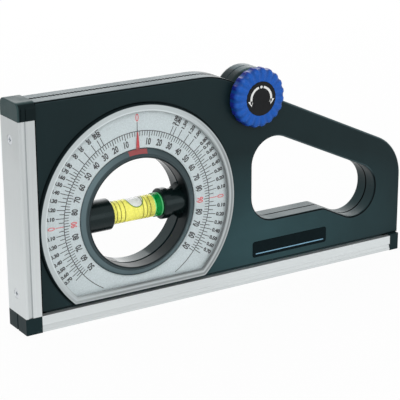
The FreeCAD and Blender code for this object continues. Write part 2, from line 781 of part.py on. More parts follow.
def make_housing(label, side):
    """One half of the body; side is -1 for the front half and 1 for the rear half."""
    body = new_body(label)
    front = side < 0
    rear = not front
    outer = half_body * -side

    # Outer shell with its slot and rounded edges
    outline = new_sketch(body, "outline", "XZ_Plane")
    add_outline(outline, body_corners())
    add_outline(outline, slot_corners())
    pad(body, "shell", outline, half_body, reverse=rear)
    round_edges(body, "edge_round", d.body_edge_round,
                lambda edge: all_at(edge, "Y", half_body * side))

    round_edges(body, "seam", d.seam_chamfer, lambda edge: all_at(edge, "Y", ZERO), "Chamfer")

    # Tongues that stand in the rails
    tongues = new_sketch(body, "tongues", "XZ_Plane")
    plug_end = d.rail_face + d.cap_plug_length + d.seat_clearance
    top = d.overall_height - d.rail_wall - d.seat_clearance
    add_outline(tongues, sharp(
        (left + tongue_reach, plug_end),
        (left + plug_end, plug_end),
        (left + plug_end, tongue_reach),
        (end_cap_x - d.cap_plug_length - d.seat_clearance, tongue_reach),
        (end_cap_x - d.cap_plug_length - d.seat_clearance, body_bottom + d.body_edge_round),
        (body_left + d.body_edge_round, body_bottom + d.body_edge_round),
        (body_left + d.body_edge_round, top),
        (left + tongue_reach, top),
    ))
    pad(body, "tongue_pad", tongues, half_tongue, reverse=rear)

    # Round lobe behind the knob
    lobe = ring_profile(body, "lobe", (
        (ZERO, ZERO, None),
        (d.lobe_radius - d.seam_chamfer, ZERO, None),
        (d.lobe_radius, d.seam_chamfer * side, None),
        (d.lobe_radius, half_body * side, d.lobe_edge_round),
        (ZERO, half_body * side, None),
    ), (knob_x, ZERO, knob_z))
    turn(body, "lobe_round", lobe)

    # Recess for the scale and its cover, in the front half
    if front:
        recess = new_sketch(body, "recess", "XZ_Plane", (ZERO, ZERO, outer))
        add_dial_outline(recess, -d.moat_width)
        pocket(body, "recess_cut", recess, d.recess_depth)

    # Stepped bores for the drum, the idler and the knob's shaft
    past = (half_body + d.overrun) * side
    inside = d.overrun * -side
    room = gear_room * side
    drum_bore = d.drum_radius + d.running_clearance
    drum = ring_profile(body, "drum_bore", sharp(
        (ZERO, inside),
        (dial_pitch + tip_room, inside),
        (dial_pitch + tip_room, room),
        (drum_bore, room),
        (drum_bore, past),
        (ZERO, past),
    ), (dial_x, ZERO, dial_z))
    bore(body, "drum_cut", drum)
    pin_hole = d.idler_pin_radius + d.seat_clearance / 4
    hub_room = d.idler_hub_width / 2 + d.gear_side_gap
    hub_hole = d.idler_hub_radius + d.gear_tip_gap
    idler = ring_profile(body, "idler_bore", sharp(
        (ZERO, inside),
        (idler_pitch + tip_room, inside),
        (idler_pitch + tip_room, room),
        (hub_hole, room),
        (hub_hole, hub_room * side),
        (pin_hole, hub_room * side),
        (pin_hole, (gear_room + d.pin_depth) * side),
        (ZERO, (gear_room + d.pin_depth) * side),
    ), (idler_x, ZERO, idler_z))
    bore(body, "idler_cut", idler)
    if front:
        bush = d.bush_radius + d.seat_clearance / 4
        flange = d.bush_flange_radius + d.seat_clearance
        flange_floor = half_body * side - (d.bush_flange + d.seat_clearance) * side
        shaft_points = sharp(
            (ZERO, inside),
            (pinion_pitch + tip_room, inside),
            (pinion_pitch + tip_room, room),
            (bush, room),
            (bush, flange_floor),
            (flange, flange_floor),
            (flange, past),
            (ZERO, past),
        )
    else:
        shaft_hole = d.shaft_radius + d.running_clearance
        ring_hole = d.friction_ring_radius + d.seat_clearance
        ring_floor = gear_half + d.running_clearance + d.friction_ring_thickness
        shaft_points = sharp(
            (ZERO, inside),
            (pinion_pitch + tip_room, inside),
            (pinion_pitch + tip_room, room),
            (ring_hole, room),
            (ring_hole, ring_floor),
            (shaft_hole, ring_floor),
            (shaft_hole, d.shaft_tail + d.seat_clearance),
            (ZERO, d.shaft_tail + d.seat_clearance),
        )
    shaft = ring_profile(body, "shaft_bore", shaft_points, (knob_x, ZERO, knob_z))
    bore(body, "shaft_cut", shaft)

    # Shallow bed for the bare badge, in the front half
    if front:
        bed = new_sketch(body, "badge_bed", "XZ_Plane", (ZERO, ZERO, outer))
        add_badge_outline(bed, d.seat_clearance)
        pocket(body, "badge_cut", bed, d.badge_sink)

    # Screw holes: pilot holes in the front half, counterbores in the rear half
    holes = new_sketch(body, "screw_holes", "XZ_Plane")
    for x, z in body_screw_places():
        add_circle(holes, x, z, d.screw_radius + d.seat_clearance / 2)
    if front:
        pilot = d.body_screw_length - half_body + d.screw_head_height + d.body_screw_head_sink
        pocket(body, "pilot_holes", holes, pilot + d.seat_clearance, reverse=True)
    else:
        pocket(body, "clear_holes", holes, half_body)
        heads = new_sketch(body, "screw_heads", "XZ_Plane", (ZERO, ZERO, outer))
        for x, z in body_screw_places():
            add_circle(heads, x, z, d.screw_head_radius + d.seat_clearance)
        sunk = d.screw_head_height + d.body_screw_head_sink
        pocket(body, "counterbores", heads, sunk, reverse=True)

    # Holes for the rails' screws, half in each shell
    rail_hole = d.screw_radius + d.seat_clearance / 2
    deep = d.rail_screw_length + d.seat_clearance
    upright = new_sketch(body, "side_screw_holes", "YZ_Plane", (ZERO, ZERO, left))
    for height in (d.rail_screw_low, d.rail_screw_high):
        add_circle(upright, ZERO, height, rail_hole)
    pocket(body, "side_holes", upright, deep, reverse=True)
    level = new_sketch(body, "base_screw_holes", "XY_Plane")
    for place in base_screw_places():
        add_circle(level, place, ZERO, rail_hole)
    pocket(body, "base_holes", level, deep, reverse=True)
    return body


def add_badge_outline(sketch, margin):
    half_long = d.badge_length / 2 + margin
    half_high = d.badge_height / 2 + margin
    middle = left + d.badge_centre
    low_x, high_x = middle - half_long, middle + half_long
    low_z, high_z = d.badge_middle - half_high, d.badge_middle + half_high
    add_rectangle(sketch, low_x, low_z, high_x, high_z, d.badge_round)


def make_badge():
    """The bare plate in its bed on the front, below the slot."""
    body = new_body("badge_plate")
    face = new_sketch(body, "face", "XZ_Plane", (ZERO, ZERO, half_body - d.badge_sink))
    add_badge_outline(face, ZERO)
    pad(body, "plate", face, d.badge_thickness)
    return body


# Scale plate and clear cover

def make_scale_plate():
    """The silver scale: a thin plate in the recess, with a hole for the drum."""
    body = new_body("scale_plate")
    face = new_sketch(body, "face", "XZ_Plane", (ZERO, ZERO, recess_floor))
    add_dial_outline(face, d.cover_skirt + d.seat_clearance)
    add_circle(face, dial_x, dial_z, d.drum_radius + d.gear_side_gap)
    pad(body, "plate", face, d.plate_thickness)
    return body


def make_scale_cover():
    """The clear moulded cover: a raised rim with a skirt on the recess floor."""
    body = new_body("scale_cover")
    face = new_sketch(body, "face", "XZ_Plane", (ZERO, ZERO, recess_floor))
    add_dial_outline(face, ZERO)
    add_circle(face, dial_x, dial_z, d.drum_radius + d.gear_side_gap)
    pad(body, "blank", face, cover_front + d.cover_rim_rise - recess_floor)
    round_edges(body, "rim_round", d.cover_rim_rise / 2,
                lambda edge: all_at(edge, "Y", -cover_front - d.cover_rim_rise)
                and edge.BoundBox.ZMax > (dial_z + d.drum_radius * 1.2).value)
    window = new_sketch(body, "window", "XZ_Plane", (ZERO, ZERO, cover_front + d.cover_rim_rise))
    add_dial_outline(window, d.cover_rim_width)
    pocket(body, "window_cut", window, d.cover_rim_rise)
    inside = new_sketch(body, "inside", "XZ_Plane", (ZERO, ZERO, recess_floor))
    add_dial_outline(inside, d.cover_skirt)
    pocket(body, "inside_cut", inside, cover_back - recess_floor, reverse=True)
    return body


# Drum

def make_dial_bezel():
    """The front ring of the drum: a face that slopes up to a rounded lip round the window."""
    body = new_body("dial_bezel")
    slope_top = -d.bezel_edge - d.bezel_slope_rise
    section = ring_profile(body, "section", (
        (drum_wall, -gear_half, None),
        (d.drum_radius, -gear_half, None),
        (d.drum_radius, -d.bezel_edge, None),
        (bezel_slope_end, slope_top, None),
        (bezel_slope_end, -d.drum_front, d.bezel_lip_round),
        (drum_wall, -d.drum_front, d.bezel_lip_round),
    ))
    turn(body, "ring", section)
    place_body(body, dial_x, ZERO, dial_z)
    return body


def make_dial_rear_ring():
    """The rear ring of the drum, with the spigot that the ring gear sits on."""
    body = new_body("dial_rear_ring")
    lip = drum_wall + d.drum_lip_width
    land = d.drum_back - d.drum_lip_rise
    section = ring_profile(body, "section", sharp(
        (drum_wall, d.drum_groove_width - gear_half),
        (spigot_radius, d.drum_groove_width - gear_half),
        (spigot_radius, gear_half),
        (d.drum_radius, gear_half),
        (d.drum_radius, land - d.drum_edge_chamfer),
        (d.drum_radius - d.drum_edge_chamfer, land),
        (lip + d.drum_lip_rise, land),
        (lip, d.drum_back),
        (drum_wall + d.drum_lip_rise, d.drum_back),
        (drum_wall, land),
    ))
    turn(body, "ring", section)
    place_body(body, dial_x, ZERO, dial_z)
    return body


def make_pointer():
    """The pointer: a patch that lies on the bezel's slope, and a needle out over the scale."""
    body = new_body("pointer")
    patch = new_sketch(body, "patch", "YZ_Plane")
    gap = d.seat_clearance / 4
    outer = d.drum_radius - d.drum_edge_chamfer
    inner = outer - d.pointer_patch_width
    outer_y = -d.bezel_edge - (d.drum_radius - outer) * bezel_fall - gap
    inner_y = -d.bezel_edge - (d.drum_radius - inner) * bezel_fall - gap
    add_outline(patch, sharp(
        (outer_y, outer),
        (inner_y, inner),
        (inner_y - d.pointer_patch_thickness, inner),
        (outer_y - d.pointer_patch_thickness, outer),
    ))
    turn(body, "patch_ring", patch, "H_Axis", d.pointer_patch_angle)
    back = plate_front + d.pointer_patch_thickness
    tip = d.drum_radius + d.pointer_length
    face = new_sketch(body, "face", "XZ_Plane", (ZERO, ZERO, back))
    add_outline(face, sharp(
        (-d.pointer_root / 2, outer - d.pointer_thickness),
        (d.pointer_root / 2, outer - d.pointer_thickness),
        (d.pointer_tip / 2, tip),
        (-d.pointer_tip / 2, tip),
    ))
    pad(body, "needle", face, d.pointer_thickness)
    place_body(body, dial_x, ZERO, dial_z)
    return body


# Gears

def on_plane(radius, angle):
    return Vector(radius * math.cos(angle), 0, radius * math.sin(angle))


def involute_lean(base_radius, radius):
    """How far round an involute has leant from its base circle at this radius."""
    roll = math.sqrt(max((radius / base_radius) ** 2 - 1, 0))
    return roll - math.atan(roll)


def involute_point(base_radius, radius, start):
    """A point on the involute of a base circle, at this radius."""
    return on_plane(radius, start + involute_lean(base_radius, radius))


def gear_outline(teeth, phase):
    """The closed outline of a spur gear in the X-Z plane; one tooth points along the phase."""
    module = d.gear_module.value
    pitch = module * teeth / 2
    base = pitch * math.cos(math.radians(d.gear_pressure_angle.value))
    tip = pitch + module
    foot = pitch - module * 1.25
    low = max(base, foot)
    lean = involute_lean(base, pitch)
    thick = math.pi / teeth - d.gear_backlash.value / pitch
    half_tooth = thick / 2
    step = 2 * math.pi / teeth
    edges = []
    for tooth in range(teeth):
        middle = phase + tooth * step
        flanks = []
        for side in (-1, 1):
            # The flank on each side starts at its base circle and leans towards the middle
            start = -half_tooth - lean
            radii = (low, (low + tip) / 2, tip)
            flank = [involute_point(base, radius, start) for radius in radii]
            if side > 0:
                flank = [Vector(point.x, 0, -point.z) for point in flank]
            turned = Rotation(Vector(0, 1, 0), -math.degrees(middle))
            flanks.append([turned.multVec(point) for point in flank])
        rising, falling = flanks
        low_angle = half_tooth + lean - involute_lean(base, low)
        next_low = middle + step - low_angle
        root_in = on_plane(foot, middle - low_angle)
        root_out = on_plane(foot, middle + low_angle)
        if low > foot + 1e-9:
            edges.append(Part.makeLine(root_in, rising[0]))
        edges.append(Part.Arc(*rising).toShape())
        edges.append(Part.Arc(rising[2], on_plane(tip, middle), falling[2]).toShape())
        edges.append(Part.Arc(*reversed(falling)).toShape())
        if low > foot + 1e-9:
            edges.append(Part.makeLine(falling[0], root_out))
        between = on_plane(foot, middle + step / 2)
        root_next = on_plane(foot, next_low)
        edges.append(Part.Arc(root_out, between, root_next).toShape())
    return Part.Wire(edges)


def make_gear(label, teeth, phase, hole, hub=None):
    """A spur gear about its own Y axis, with a bore and perhaps a hub."""
    width = d.gear_width.value
    disc = Part.Face(gear_outline(int(teeth.value), phase)).extrude(Vector(0, width, 0))
    disc.translate(Vector(0, -width / 2, 0))
    if hub:
        radius, long = hub
        boss = Part.makeCylinder(radius, long, Vector(0, -long / 2, 0), Vector(0, 1, 0))
        disc = disc.fuse(boss)
        width = long
    cutter = Part.makeCylinder(hole, width * 2, Vector(0, -width, 0), Vector(0, 1, 0))
    wheel = doc.addObject("Part::Feature", label)
    wheel.Label = label
    wheel.Shape = disc.cut(cutter).removeSplitter()
    return wheel


def meshing_phase(teeth, own_phase, other_teeth, line):
    """The phase of a gear that meshes with this one, along the line from this one to it."""
    ratio = teeth / other_teeth
    return line + math.pi - ratio * (own_phase - line) + math.pi / other_teeth


def make_gears():
    """The drum's ring gear, the idler beside it and the pinion on the knob's shaft."""
    to_idler = math.atan2((idler_z - dial_z).value, (idler_x - dial_x).value)
    to_pinion = math.atan2((knob_z - idler_z).value, (knob_x - idler_x).value)
    dial_count, idler_count = d.dial_teeth.value, idler_teeth.value
    pinion_count = d.pinion_teeth.value
    dial_phase = math.pi / 2
    idler_phase = meshing_phase(dial_count, dial_phase, idler_count, to_idler)
    pinion_phase = meshing_phase(idler_count, idler_phase, pinion_count, to_pinion)
    ring_bore = (spigot_radius + d.seat_clearance / 4).value
    dial = make_gear("dial_gear", d.dial_teeth, dial_phase, ring_bore)
    place_body(dial, dial_x, ZERO, dial_z)
    hub = (d.idler_hub_radius.value, d.idler_hub_width.value)
    idler_bore = (d.idler_pin_radius + d.running_clearance).value
    idler = make_gear("idler_gear", idler_teeth, idler_phase, idler_bore, hub)
    place_body(idler, idler_x, ZERO, idler_z)
    shaft_bore = (d.shaft_radius + d.seat_clearance / 4).value
    pinion = make_gear("drive_pinion", d.pinion_teeth, pinion_phase, shaft_bore)
    place_body(pinion, knob_x, ZERO, knob_z)
    return [dial, idler, pinion]


def make_idler_pin():
    """The fixed pin that the idler turns on, held at both ends in the body."""
    body = new_body("idler_pin")
    reach = gear_room + d.pin_depth - d.seat_clearance
    section = ring_profile(body, "section", sharp(
        (ZERO, -reach), (d.idler_pin_radius, -reach), (d.idler_pin_radius, reach), (ZERO, reach),
    ))
    turn(body, "pin", section)
    place_body(body, idler_x, ZERO, idler_z)
    return body


# Bubble vial

def make_holder(label, side, inner_end, neck=None):
    """One black holder that carries an end of the vial; its barrel may step down to a neck."""
    body = new_body(label)
    wall = drum_wall + d.overrun
    section = new_sketch(body, "section", "XY_Plane")
    near = inner_end * side
    collar_end = (inner_end + d.holder_collar_length) * side
    socket_end = (d.vial_half_length + d.seat_clearance) * side
    socket = d.vial_radius + d.seat_clearance / 2
    step = [(collar_end, d.holder_radius), (collar_end, neck)] if neck else []
    add_outline(section, sharp(
        (near, socket),
        (near, d.holder_radius - d.holder_end_chamfer),
        (near + d.holder_end_chamfer * side, d.holder_radius),
        *step,
        (wall * side, neck or d.holder_radius),
        (wall * side, ZERO),
        (socket_end, ZERO),
        (socket_end, socket),
    ))
    turn(body, "barrel", section, "H_Axis")
    web = new_sketch(body, "web", "XZ_Plane")
    add_outline(web, sharp(
        (socket_end, -socket),
        (wall * side, -d.holder_web_height),
        (wall * side, d.holder_web_height),
        (socket_end, socket),
    ))
    pad(body, "web_pad", web, d.holder_web_width, middle=True)
    fit = drum_wall - d.seat_clearance / 2
    trim = ring_profile(body, "trim", sharp(
        (fit, -half_body),
        (fit, half_body),
        (d.drum_radius, half_body),
        (d.drum_radius, -half_body),
    ), (ZERO, ZERO, d.vial_drop))
    bore(body, "wall_trim", trim)
    place_body(body, dial_x, ZERO, vial_z)
    return body


def make_vial_tube():
    """The clear vial: a tube with one closed end, whose bore holds the liquid."""
    body = new_body("vial_tube")
    section = new_sketch(body, "section", "XY_Plane")
    start = -d.vial_half_length
    blind = start + d.vial_end_wall
    add_outline(section, sharp(
        (start, ZERO),
        (start, d.vial_radius),
        (d.vial_plug_start, d.vial_radius),
        (d.vial_plug_start, d.vial_bore_radius),
        (blind, d.vial_bore_radius),
        (blind, ZERO),
    ))
    turn(body, "tube", section, "H_Axis")
    place_body(body, dial_x, ZERO, vial_z)
    return body


def make_vial_plug():
    """The plug in the vial's open end, with a wider band up to the holder."""
    body = new_body("vial_plug")
    section = new_sketch(body, "section", "XY_Plane")
    radius = d.vial_bore_radius - d.vial_liquid_gap
    spigot_end = d.vial_plug_start - d.vial_spigot_length
    band_start = d.vial_plug_start + d.vial_liquid_gap
    band_end = d.holder_right_end - d.vial_liquid_gap
    add_outline(section, sharp(
        (spigot_end, ZERO),
        (spigot_end, radius),
        (band_start, radius),
        (band_start, d.vial_plug_radius),
        (band_end, d.vial_plug_radius),
        (band_end, d.vial_radius),
        (d.vial_half_length, d.vial_radius),
        (d.vial_half_length, ZERO),
    ))
    turn(body, "plug", section, "H_Axis")
    place_body(body, dial_x, ZERO, vial_z)
    return body


def make_vial_liquid():
    """The liquid in the vial, with the bubble left out at its top."""
    body = new_body("vial_liquid")
    section = new_sketch(body, "section", "XY_Plane")
    radius = d.vial_bore_radius - d.vial_liquid_gap
    start = -d.vial_half_length + d.vial_end_wall + d.vial_liquid_gap
    finish = d.vial_plug_start - d.vial_spigot_length - d.vial_liquid_gap
    add_outline(section, sharp((start, ZERO), (start, radius), (finish, radius), (finish, ZERO)))
    turn(body, "fill", section, "H_Axis")
    bubble = new_sketch(body, "bubble", "XZ_Plane")
    bubble_start = -d.bubble_shift - d.bubble_length / 2
    bubble_end = bubble_start + d.bubble_length
    low = radius - d.bubble_depth
    add_outline(bubble, (
        (bubble_start, radius + d.overrun, None),
        (bubble_start, low, d.bubble_depth - d.vial_liquid_gap),
        (bubble_end, low, d.bubble_depth - d.vial_liquid_gap),
        (bubble_end, radius + d.overrun, None),
    ))
    pocket(body, "bubble_cut", bubble, d.vial_radius * 2, middle=True)
    place_body(body, dial_x, ZERO, vial_z)
    return body


# Knob and shaft

knob_back = half_body + d.knob_stand_off
knob_front = knob_back + d.knob_length
disc_front = knob_front - d.knob_disc_sink
disc_back = disc_front - d.knob_disc_thickness
shaft_front = disc_back - d.screw_head_height - d.seat_clearance


def make_drive_knob():
    """The knob, with flutes that run up its side, over its shoulder and along its face."""
    body = new_body("drive_knob")
    shaft_hole = d.shaft_radius + d.seat_clearance / 4
    screw_hole = d.screw_radius + d.seat_clearance
    head_hole = d.screw_head_radius + d.seat_clearance
    disc_hole = d.knob_disc_radius + d.seat_clearance
    section = ring_profile(body, "section", (
        (shaft_hole, -knob_back, None),
        (d.knob_radius, -knob_back, d.knob_back_round),
        (d.knob_radius, -knob_front + d.knob_face_rise, d.knob_shoulder_round),
        (disc_hole, -knob_front, None),
        (disc_hole, -disc_back, None),
        (head_hole, -disc_back, None),
        (head_hole, -shaft_front, None),
        (screw_hole, -shaft_front, None),
        (screw_hole, -shaft_front + d.seat_clearance, None),
        (shaft_hole, -shaft_front + d.seat_clearance, None),
    ))
    turn(body, "blank", section)
    stand_off = d.knob_flute_radius - d.knob_flute_depth
    start_y = -knob_back + d.overrun
    high = d.knob_radius + stand_off
    face_y = -knob_front + d.knob_face_rise / 2 - d.knob_flute_radius + d.knob_flute_face_depth
    path = new_sketch(body, "flute_path", "YZ_Plane")
    add_elbow(path, (start_y, high), (face_y, high), (face_y, d.knob_disc_radius / 2),
              d.knob_shoulder_round + stand_off)
    round_end = new_sketch(body, "flute_round", "XZ_Plane", (ZERO, ZERO, -start_y))
    add_circle(round_end, ZERO, high, d.knob_flute_radius)
    before = body.Shape.Volume
    flute = add_feature(body, "SubtractivePipe", "flute")
    flute.Profile = round_end
    flute.Spine = (path, [])
    check_removed(body, before, "flute")
    pattern = add_feature(body, "PolarPattern", "flutes")
    pattern.Originals = [flute]
    pattern.Axis = (round_end, ["N_Axis"])
    pattern.Angle = 360.0
    bind_count(pattern, d.knob_flute_count)
    body.Tip = pattern
    place_body(body, knob_x, ZERO, knob_z)
    return body


def bind_count(pattern, count):
    pattern.Occurrences = int(count.value)
    pattern.setExpression("Occurrences", count.formula)


def make_knob_disc():
    """The black disc set into the knob's front, over its screw."""
    body = new_body("knob_disc")
    section = ring_profile(body, "section", sharp(
        (ZERO, -disc_back), (d.knob_disc_radius, -disc_back),
        (d.knob_disc_radius, -disc_front), (ZERO, -disc_front),
    ))
    turn(body, "disc", section)
    place_body(body, knob_x, ZERO, knob_z)
    return body


def make_knob_shaft():
    """The shaft from the knob to its tail bearing, with a threaded end for the knob's screw."""
    body = new_body("knob_shaft")
    thread = d.screw_radius + d.seat_clearance / 2
    thread_end = shaft_front - d.rail_screw_length / 2
    section = ring_profile(body, "section", sharp(
        (thread, -shaft_front + d.seat_clearance),
        (d.shaft_radius, -shaft_front + d.seat_clearance),
        (d.shaft_radius, d.shaft_tail),
        (ZERO, d.shaft_tail),
        (ZERO, -thread_end),
        (thread, -thread_end),
    ))
    turn(body, "shaft", section)
    place_body(body, knob_x, ZERO, knob_z)
    return body


def make_shaft_bush():
    """The flanged bush that the shaft turns in, pressed into the front half."""
    body = new_body("shaft_bush")
    hole = d.shaft_radius + d.running_clearance
    flange_back = -half_body + d.bush_flange
    section = ring_profile(body, "section", sharp(
        (hole, -gear_room),
        (hole, -half_body),
        (d.bush_flange_radius, -half_body),
        (d.bush_flange_radius, flange_back),
        (d.bush_radius, flange_back),
        (d.bush_radius, -gear_room),
    ))
    turn(body, "bush", section)
    place_body(body, knob_x, ZERO, knob_z)
    return body


def make_friction_ring():
    """The ring behind the pinion whose drag keeps the drum where it is set."""
    body = new_body("friction_ring")
    hole = d.shaft_radius + d.seat_clearance
    near = gear_half + d.running_clearance
    far = near + d.friction_ring_thickness
    section = ring_profile(body, "section", sharp(
        (hole, near), (d.friction_ring_radius, near), (d.friction_ring_radius, far), (hole, far),
    ))
    turn(body, "ring", section)
    place_body(body, knob_x, ZERO, knob_z)
    return body


# Screws, each a group of separate solids in one node

def make_screw(name, length, countersunk):
    """One screw with its head's outer face at the origin and its shank along +Z."""
    parts = []
    if countersunk:
        head = doc.addObject("Part::Cone", f"{name}_head")
        bind(head, "Radius1", d.screw_head_radius)
        bind(head, "Radius2", d.screw_radius)
    else:
        head = doc.addObject("Part::Cylinder", f"{name}_head")
        bind(head, "Radius", d.screw_head_radius)
    bind(head, "Height", d.screw_head_height)
    shank = doc.addObject("Part::Cylinder", f"{name}_shank")
    bind(shank, "Radius", d.screw_radius)
    bind(shank, "Height", length)
    blank = doc.addObject("Part::Fuse", f"{name}_blank")
    blank.Base, blank.Tool = head, shank
    across = d.screw_head_radius
    for index, (wide, deep) in enumerate(((across, d.screw_slot_width), (d.screw_slot_width, across))):
        slot = doc.addObject("Part::Box", f"{name}_slot_{index}")
        bind(slot, "Length", wide)
        bind(slot, "Width", deep)
        bind(slot, "Height", d.screw_slot_depth + d.overrun)
        slot.setExpression("Placement.Base.x", (-wide / 2).formula)
        slot.setExpression("Placement.Base.y", (-deep / 2).formula)
        slot.setExpression("Placement.Base.z", (-d.overrun).formula)
        parts.append(slot)
    cross = doc.addObject("Part::Fuse", f"{name}_cross")
    cross.Base, cross.Tool = parts
    screw = doc.addObject("Part::Cut", f"{name}_solid")
    screw.Base, screw.Tool = blank, cross
    return screw


def make_screw_group(label, length, countersunk, places, turned):
    """A node of like screws: each place is the middle of a head's outer face."""
    screws = []
    for index, place in enumerate(places):
        screw = make_screw(f"{label}_{index}", length, countersunk)
        screw.Placement = Placement(Vector(*(size.value for size in place)), turned)
        for axis, size in zip("xyz", place):
            screw.setExpression(f"Placement.Base.{axis}", size.formula)
        screws.append(screw)
    group = doc.addObject("Part::Compound", label)
    group.Label = label
    group.Links = screws
    return group


def make_screws():
    towards_x = Rotation(Vector(0, 1, 0), 90)
    towards_front = Rotation(Vector(1, 0, 0), 90)
    upwards = Rotation()
    side_places = [(left + d.seat_clearance, ZERO, z) for z in (d.rail_screw_low, d.rail_screw_high)]
    base_places = [(x, ZERO, d.seat_clearance) for x in base_screw_places()]
    head_face = half_body - d.body_screw_head_sink
    body_places = [(x, head_face, z) for x, z in body_screw_places()]
    rail_length = d.rail_screw_length - d.seat_clearance
    return [
        make_screw_group("side_rail_screws", rail_length, True, side_places, towards_x),
        make_screw_group("base_rail_screws", rail_length, True, base_places, upwards),
        make_screw_group("body_screws", d.body_screw_length, False, body_places, towards_front),
        make_screw_group("knob_screw", d.rail_screw_length / 2 + d.screw_head_height, False,
                         [(knob_x, -shaft_front - d.screw_head_height, knob_z)],
                         Rotation(Vector(1, 0, 0), -90)),
    ]


def check_and_write(pieces):
    """Check every object, then write each piece under its label."""
    doc.recompute()
    for item in doc.Objects:
        faults = {"Invalid", "Error"} & set(item.State)
        if faults:
            raise RuntimeError(f"{item.Label}: {sorted(faults)}")
    os.makedirs("parts", exist_ok=True)
    for piece in pieces:
        if piece.Shape.isNull() or not piece.Shape.isValid():
            raise RuntimeError(f"{piece.Label}: its shape is not sound")
    for piece in pieces:
        piece.Shape.exportStep(f"parts/{piece.Label}.step")


pieces = [
    make_side_rail(),
    make_base_rail(),
    make_top_end_cap(),
    make_corner_cap(),
    make_base_end_cap(),
    make_housing("front_housing", -1),
    make_housing("rear_housing", 1),
    make_badge(),
    make_scale_plate(),
    make_scale_cover(),
    make_dial_bezel(),
    make_dial_rear_ring(),
    make_pointer(),
    make_idler_pin(),
    make_holder("vial_holder_left", -1, d.holder_left_end),
    make_holder("vial_holder_right", 1, d.holder_right_end, d.holder_neck_radius),
    make_vial_tube(),
    make_vial_plug(),
    make_vial_liquid(),
    make_drive_knob(),
    make_knob_disc(),
    make_knob_shaft(),
    make_shaft_bush(),
    make_friction_ring(),
]
pieces += make_gears()
pieces += make_screws()
check_and_write(pieces)
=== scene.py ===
import math

import bmesh
import bpy
from bpy.props import EnumProperty, FloatProperty, FloatVectorProperty, PointerProperty
from mathutils import Matrix, Vector


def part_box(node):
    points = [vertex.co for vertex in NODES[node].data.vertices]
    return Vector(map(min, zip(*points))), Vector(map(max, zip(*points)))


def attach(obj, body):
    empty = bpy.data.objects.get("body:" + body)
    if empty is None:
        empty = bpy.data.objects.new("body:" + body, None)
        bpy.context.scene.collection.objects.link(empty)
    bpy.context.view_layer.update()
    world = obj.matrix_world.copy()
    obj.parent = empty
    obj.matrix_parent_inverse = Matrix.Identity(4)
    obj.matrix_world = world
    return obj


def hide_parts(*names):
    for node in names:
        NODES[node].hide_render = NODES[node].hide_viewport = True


bl_info = {
    "name": "Slope level",
    "version": (1, 0, 0),
    "blender": (4, 5, 0),
    "location": "3D View > Sidebar > Slope level",
    "description": "Finishes a slope level: its metal, plastics, printed scale, vial and knob",
    "category": "Object",
}

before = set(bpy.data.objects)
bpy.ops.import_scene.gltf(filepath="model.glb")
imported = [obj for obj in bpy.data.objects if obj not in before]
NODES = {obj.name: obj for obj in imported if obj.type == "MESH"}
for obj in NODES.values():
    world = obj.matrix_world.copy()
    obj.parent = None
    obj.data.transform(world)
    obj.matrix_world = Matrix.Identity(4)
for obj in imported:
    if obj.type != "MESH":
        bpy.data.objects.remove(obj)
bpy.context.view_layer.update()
MM = 0.001
COOL = (0.78, 0.96, 1.0, 1.0)


def corners(node):
    low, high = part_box(node)
    return low, high, (low + high) / 2


# Places on the level, read from the frame
DIAL = corners("dial_bezel")[2]
DIAL.y = 0.0
DRUM_RADIUS = corners("dial_bezel")[1].x - DIAL.x
KNOB = corners("knob_disc")[2]
KNOB.y = 0.0
PLATE_FRONT = corners("scale_plate")[0].y
DISC_FRONT = corners("knob_disc")[0].y
VIAL = corners("vial_tube")[2]
VIAL.x = DIAL.x
BUBBLE = VIAL + Vector((0.7 * MM, 0.0, 4.9 * MM))


def colour(name, about, value):
    return FloatVectorProperty(
        name=name, description=about, subtype="COLOR", size=3, min=0.0, max=1.0, default=value
    )


def length(name, about, value):
    return FloatProperty(
        name=name, description=about, subtype="DISTANCE", unit="LENGTH", min=0.0, default=value
    )


def power(name, about, value):
    return FloatProperty(name=name, description=about, unit="POWER", min=0.0, default=value)


class LevelColours(bpy.types.PropertyGroup):
    """The level's colours."""

    metal: colour("Rails", "Drawn aluminium", (0.60, 0.635, 0.64))
    shell: colour("Body", "Satin plastic of the body", (0.0135, 0.0330, 0.0370))
    caps: colour("End caps", "Grained plastic of the caps", (0.006, 0.016, 0.018))
    plate: colour("Scale plate", "Silver ground of the scale", (0.480, 0.545, 0.560))
    ink: colour("Black print", "Ticks and numbers", (0.010, 0.011, 0.013))
    red: colour("Red print", "Zeros and nineties", (0.50, 0.095, 0.105))
    pointer: colour("Pointer", "Red paint of the pointer", (0.42, 0.022, 0.030))
    drum: colour("Drum", "Slate face of the drum", (0.078, 0.112, 0.122))
    knob: colour("Knob", "Blue moulded plastic", (0.010, 0.095, 0.43))
    liquid: colour("Vial liquid", "Yellow liquid", (0.92, 0.88, 0.22))
    plug: colour("Vial plug", "Green plug", (0.000, 0.26, 0.045))


class LevelPrint(bpy.types.PropertyGroup):
    """Sizes of the printed scale."""

    circle: length("Tick circle", "Radius of the line that both scales stand on", 0.0360)
    line: length("Line width", "Width of the circle's line and the long ticks", 0.00034)
    tick: length("Tick width", "Width of a fine tick", 0.00032)
    degree_radius: length("Degree numbers", "Radius of the degree numbers' middle", 0.0313)
    degree_height: length("Degree number height", "Height of a degree number", 0.0031)
    slope_radius: length("Slope numbers", "Radius of the slope numbers' middle", 0.0426)
    slope_height: length("Slope number height", "Height of a slope number", 0.0018)
    film: length("Ink film", "How far the ink stands off the plate", 0.00003)


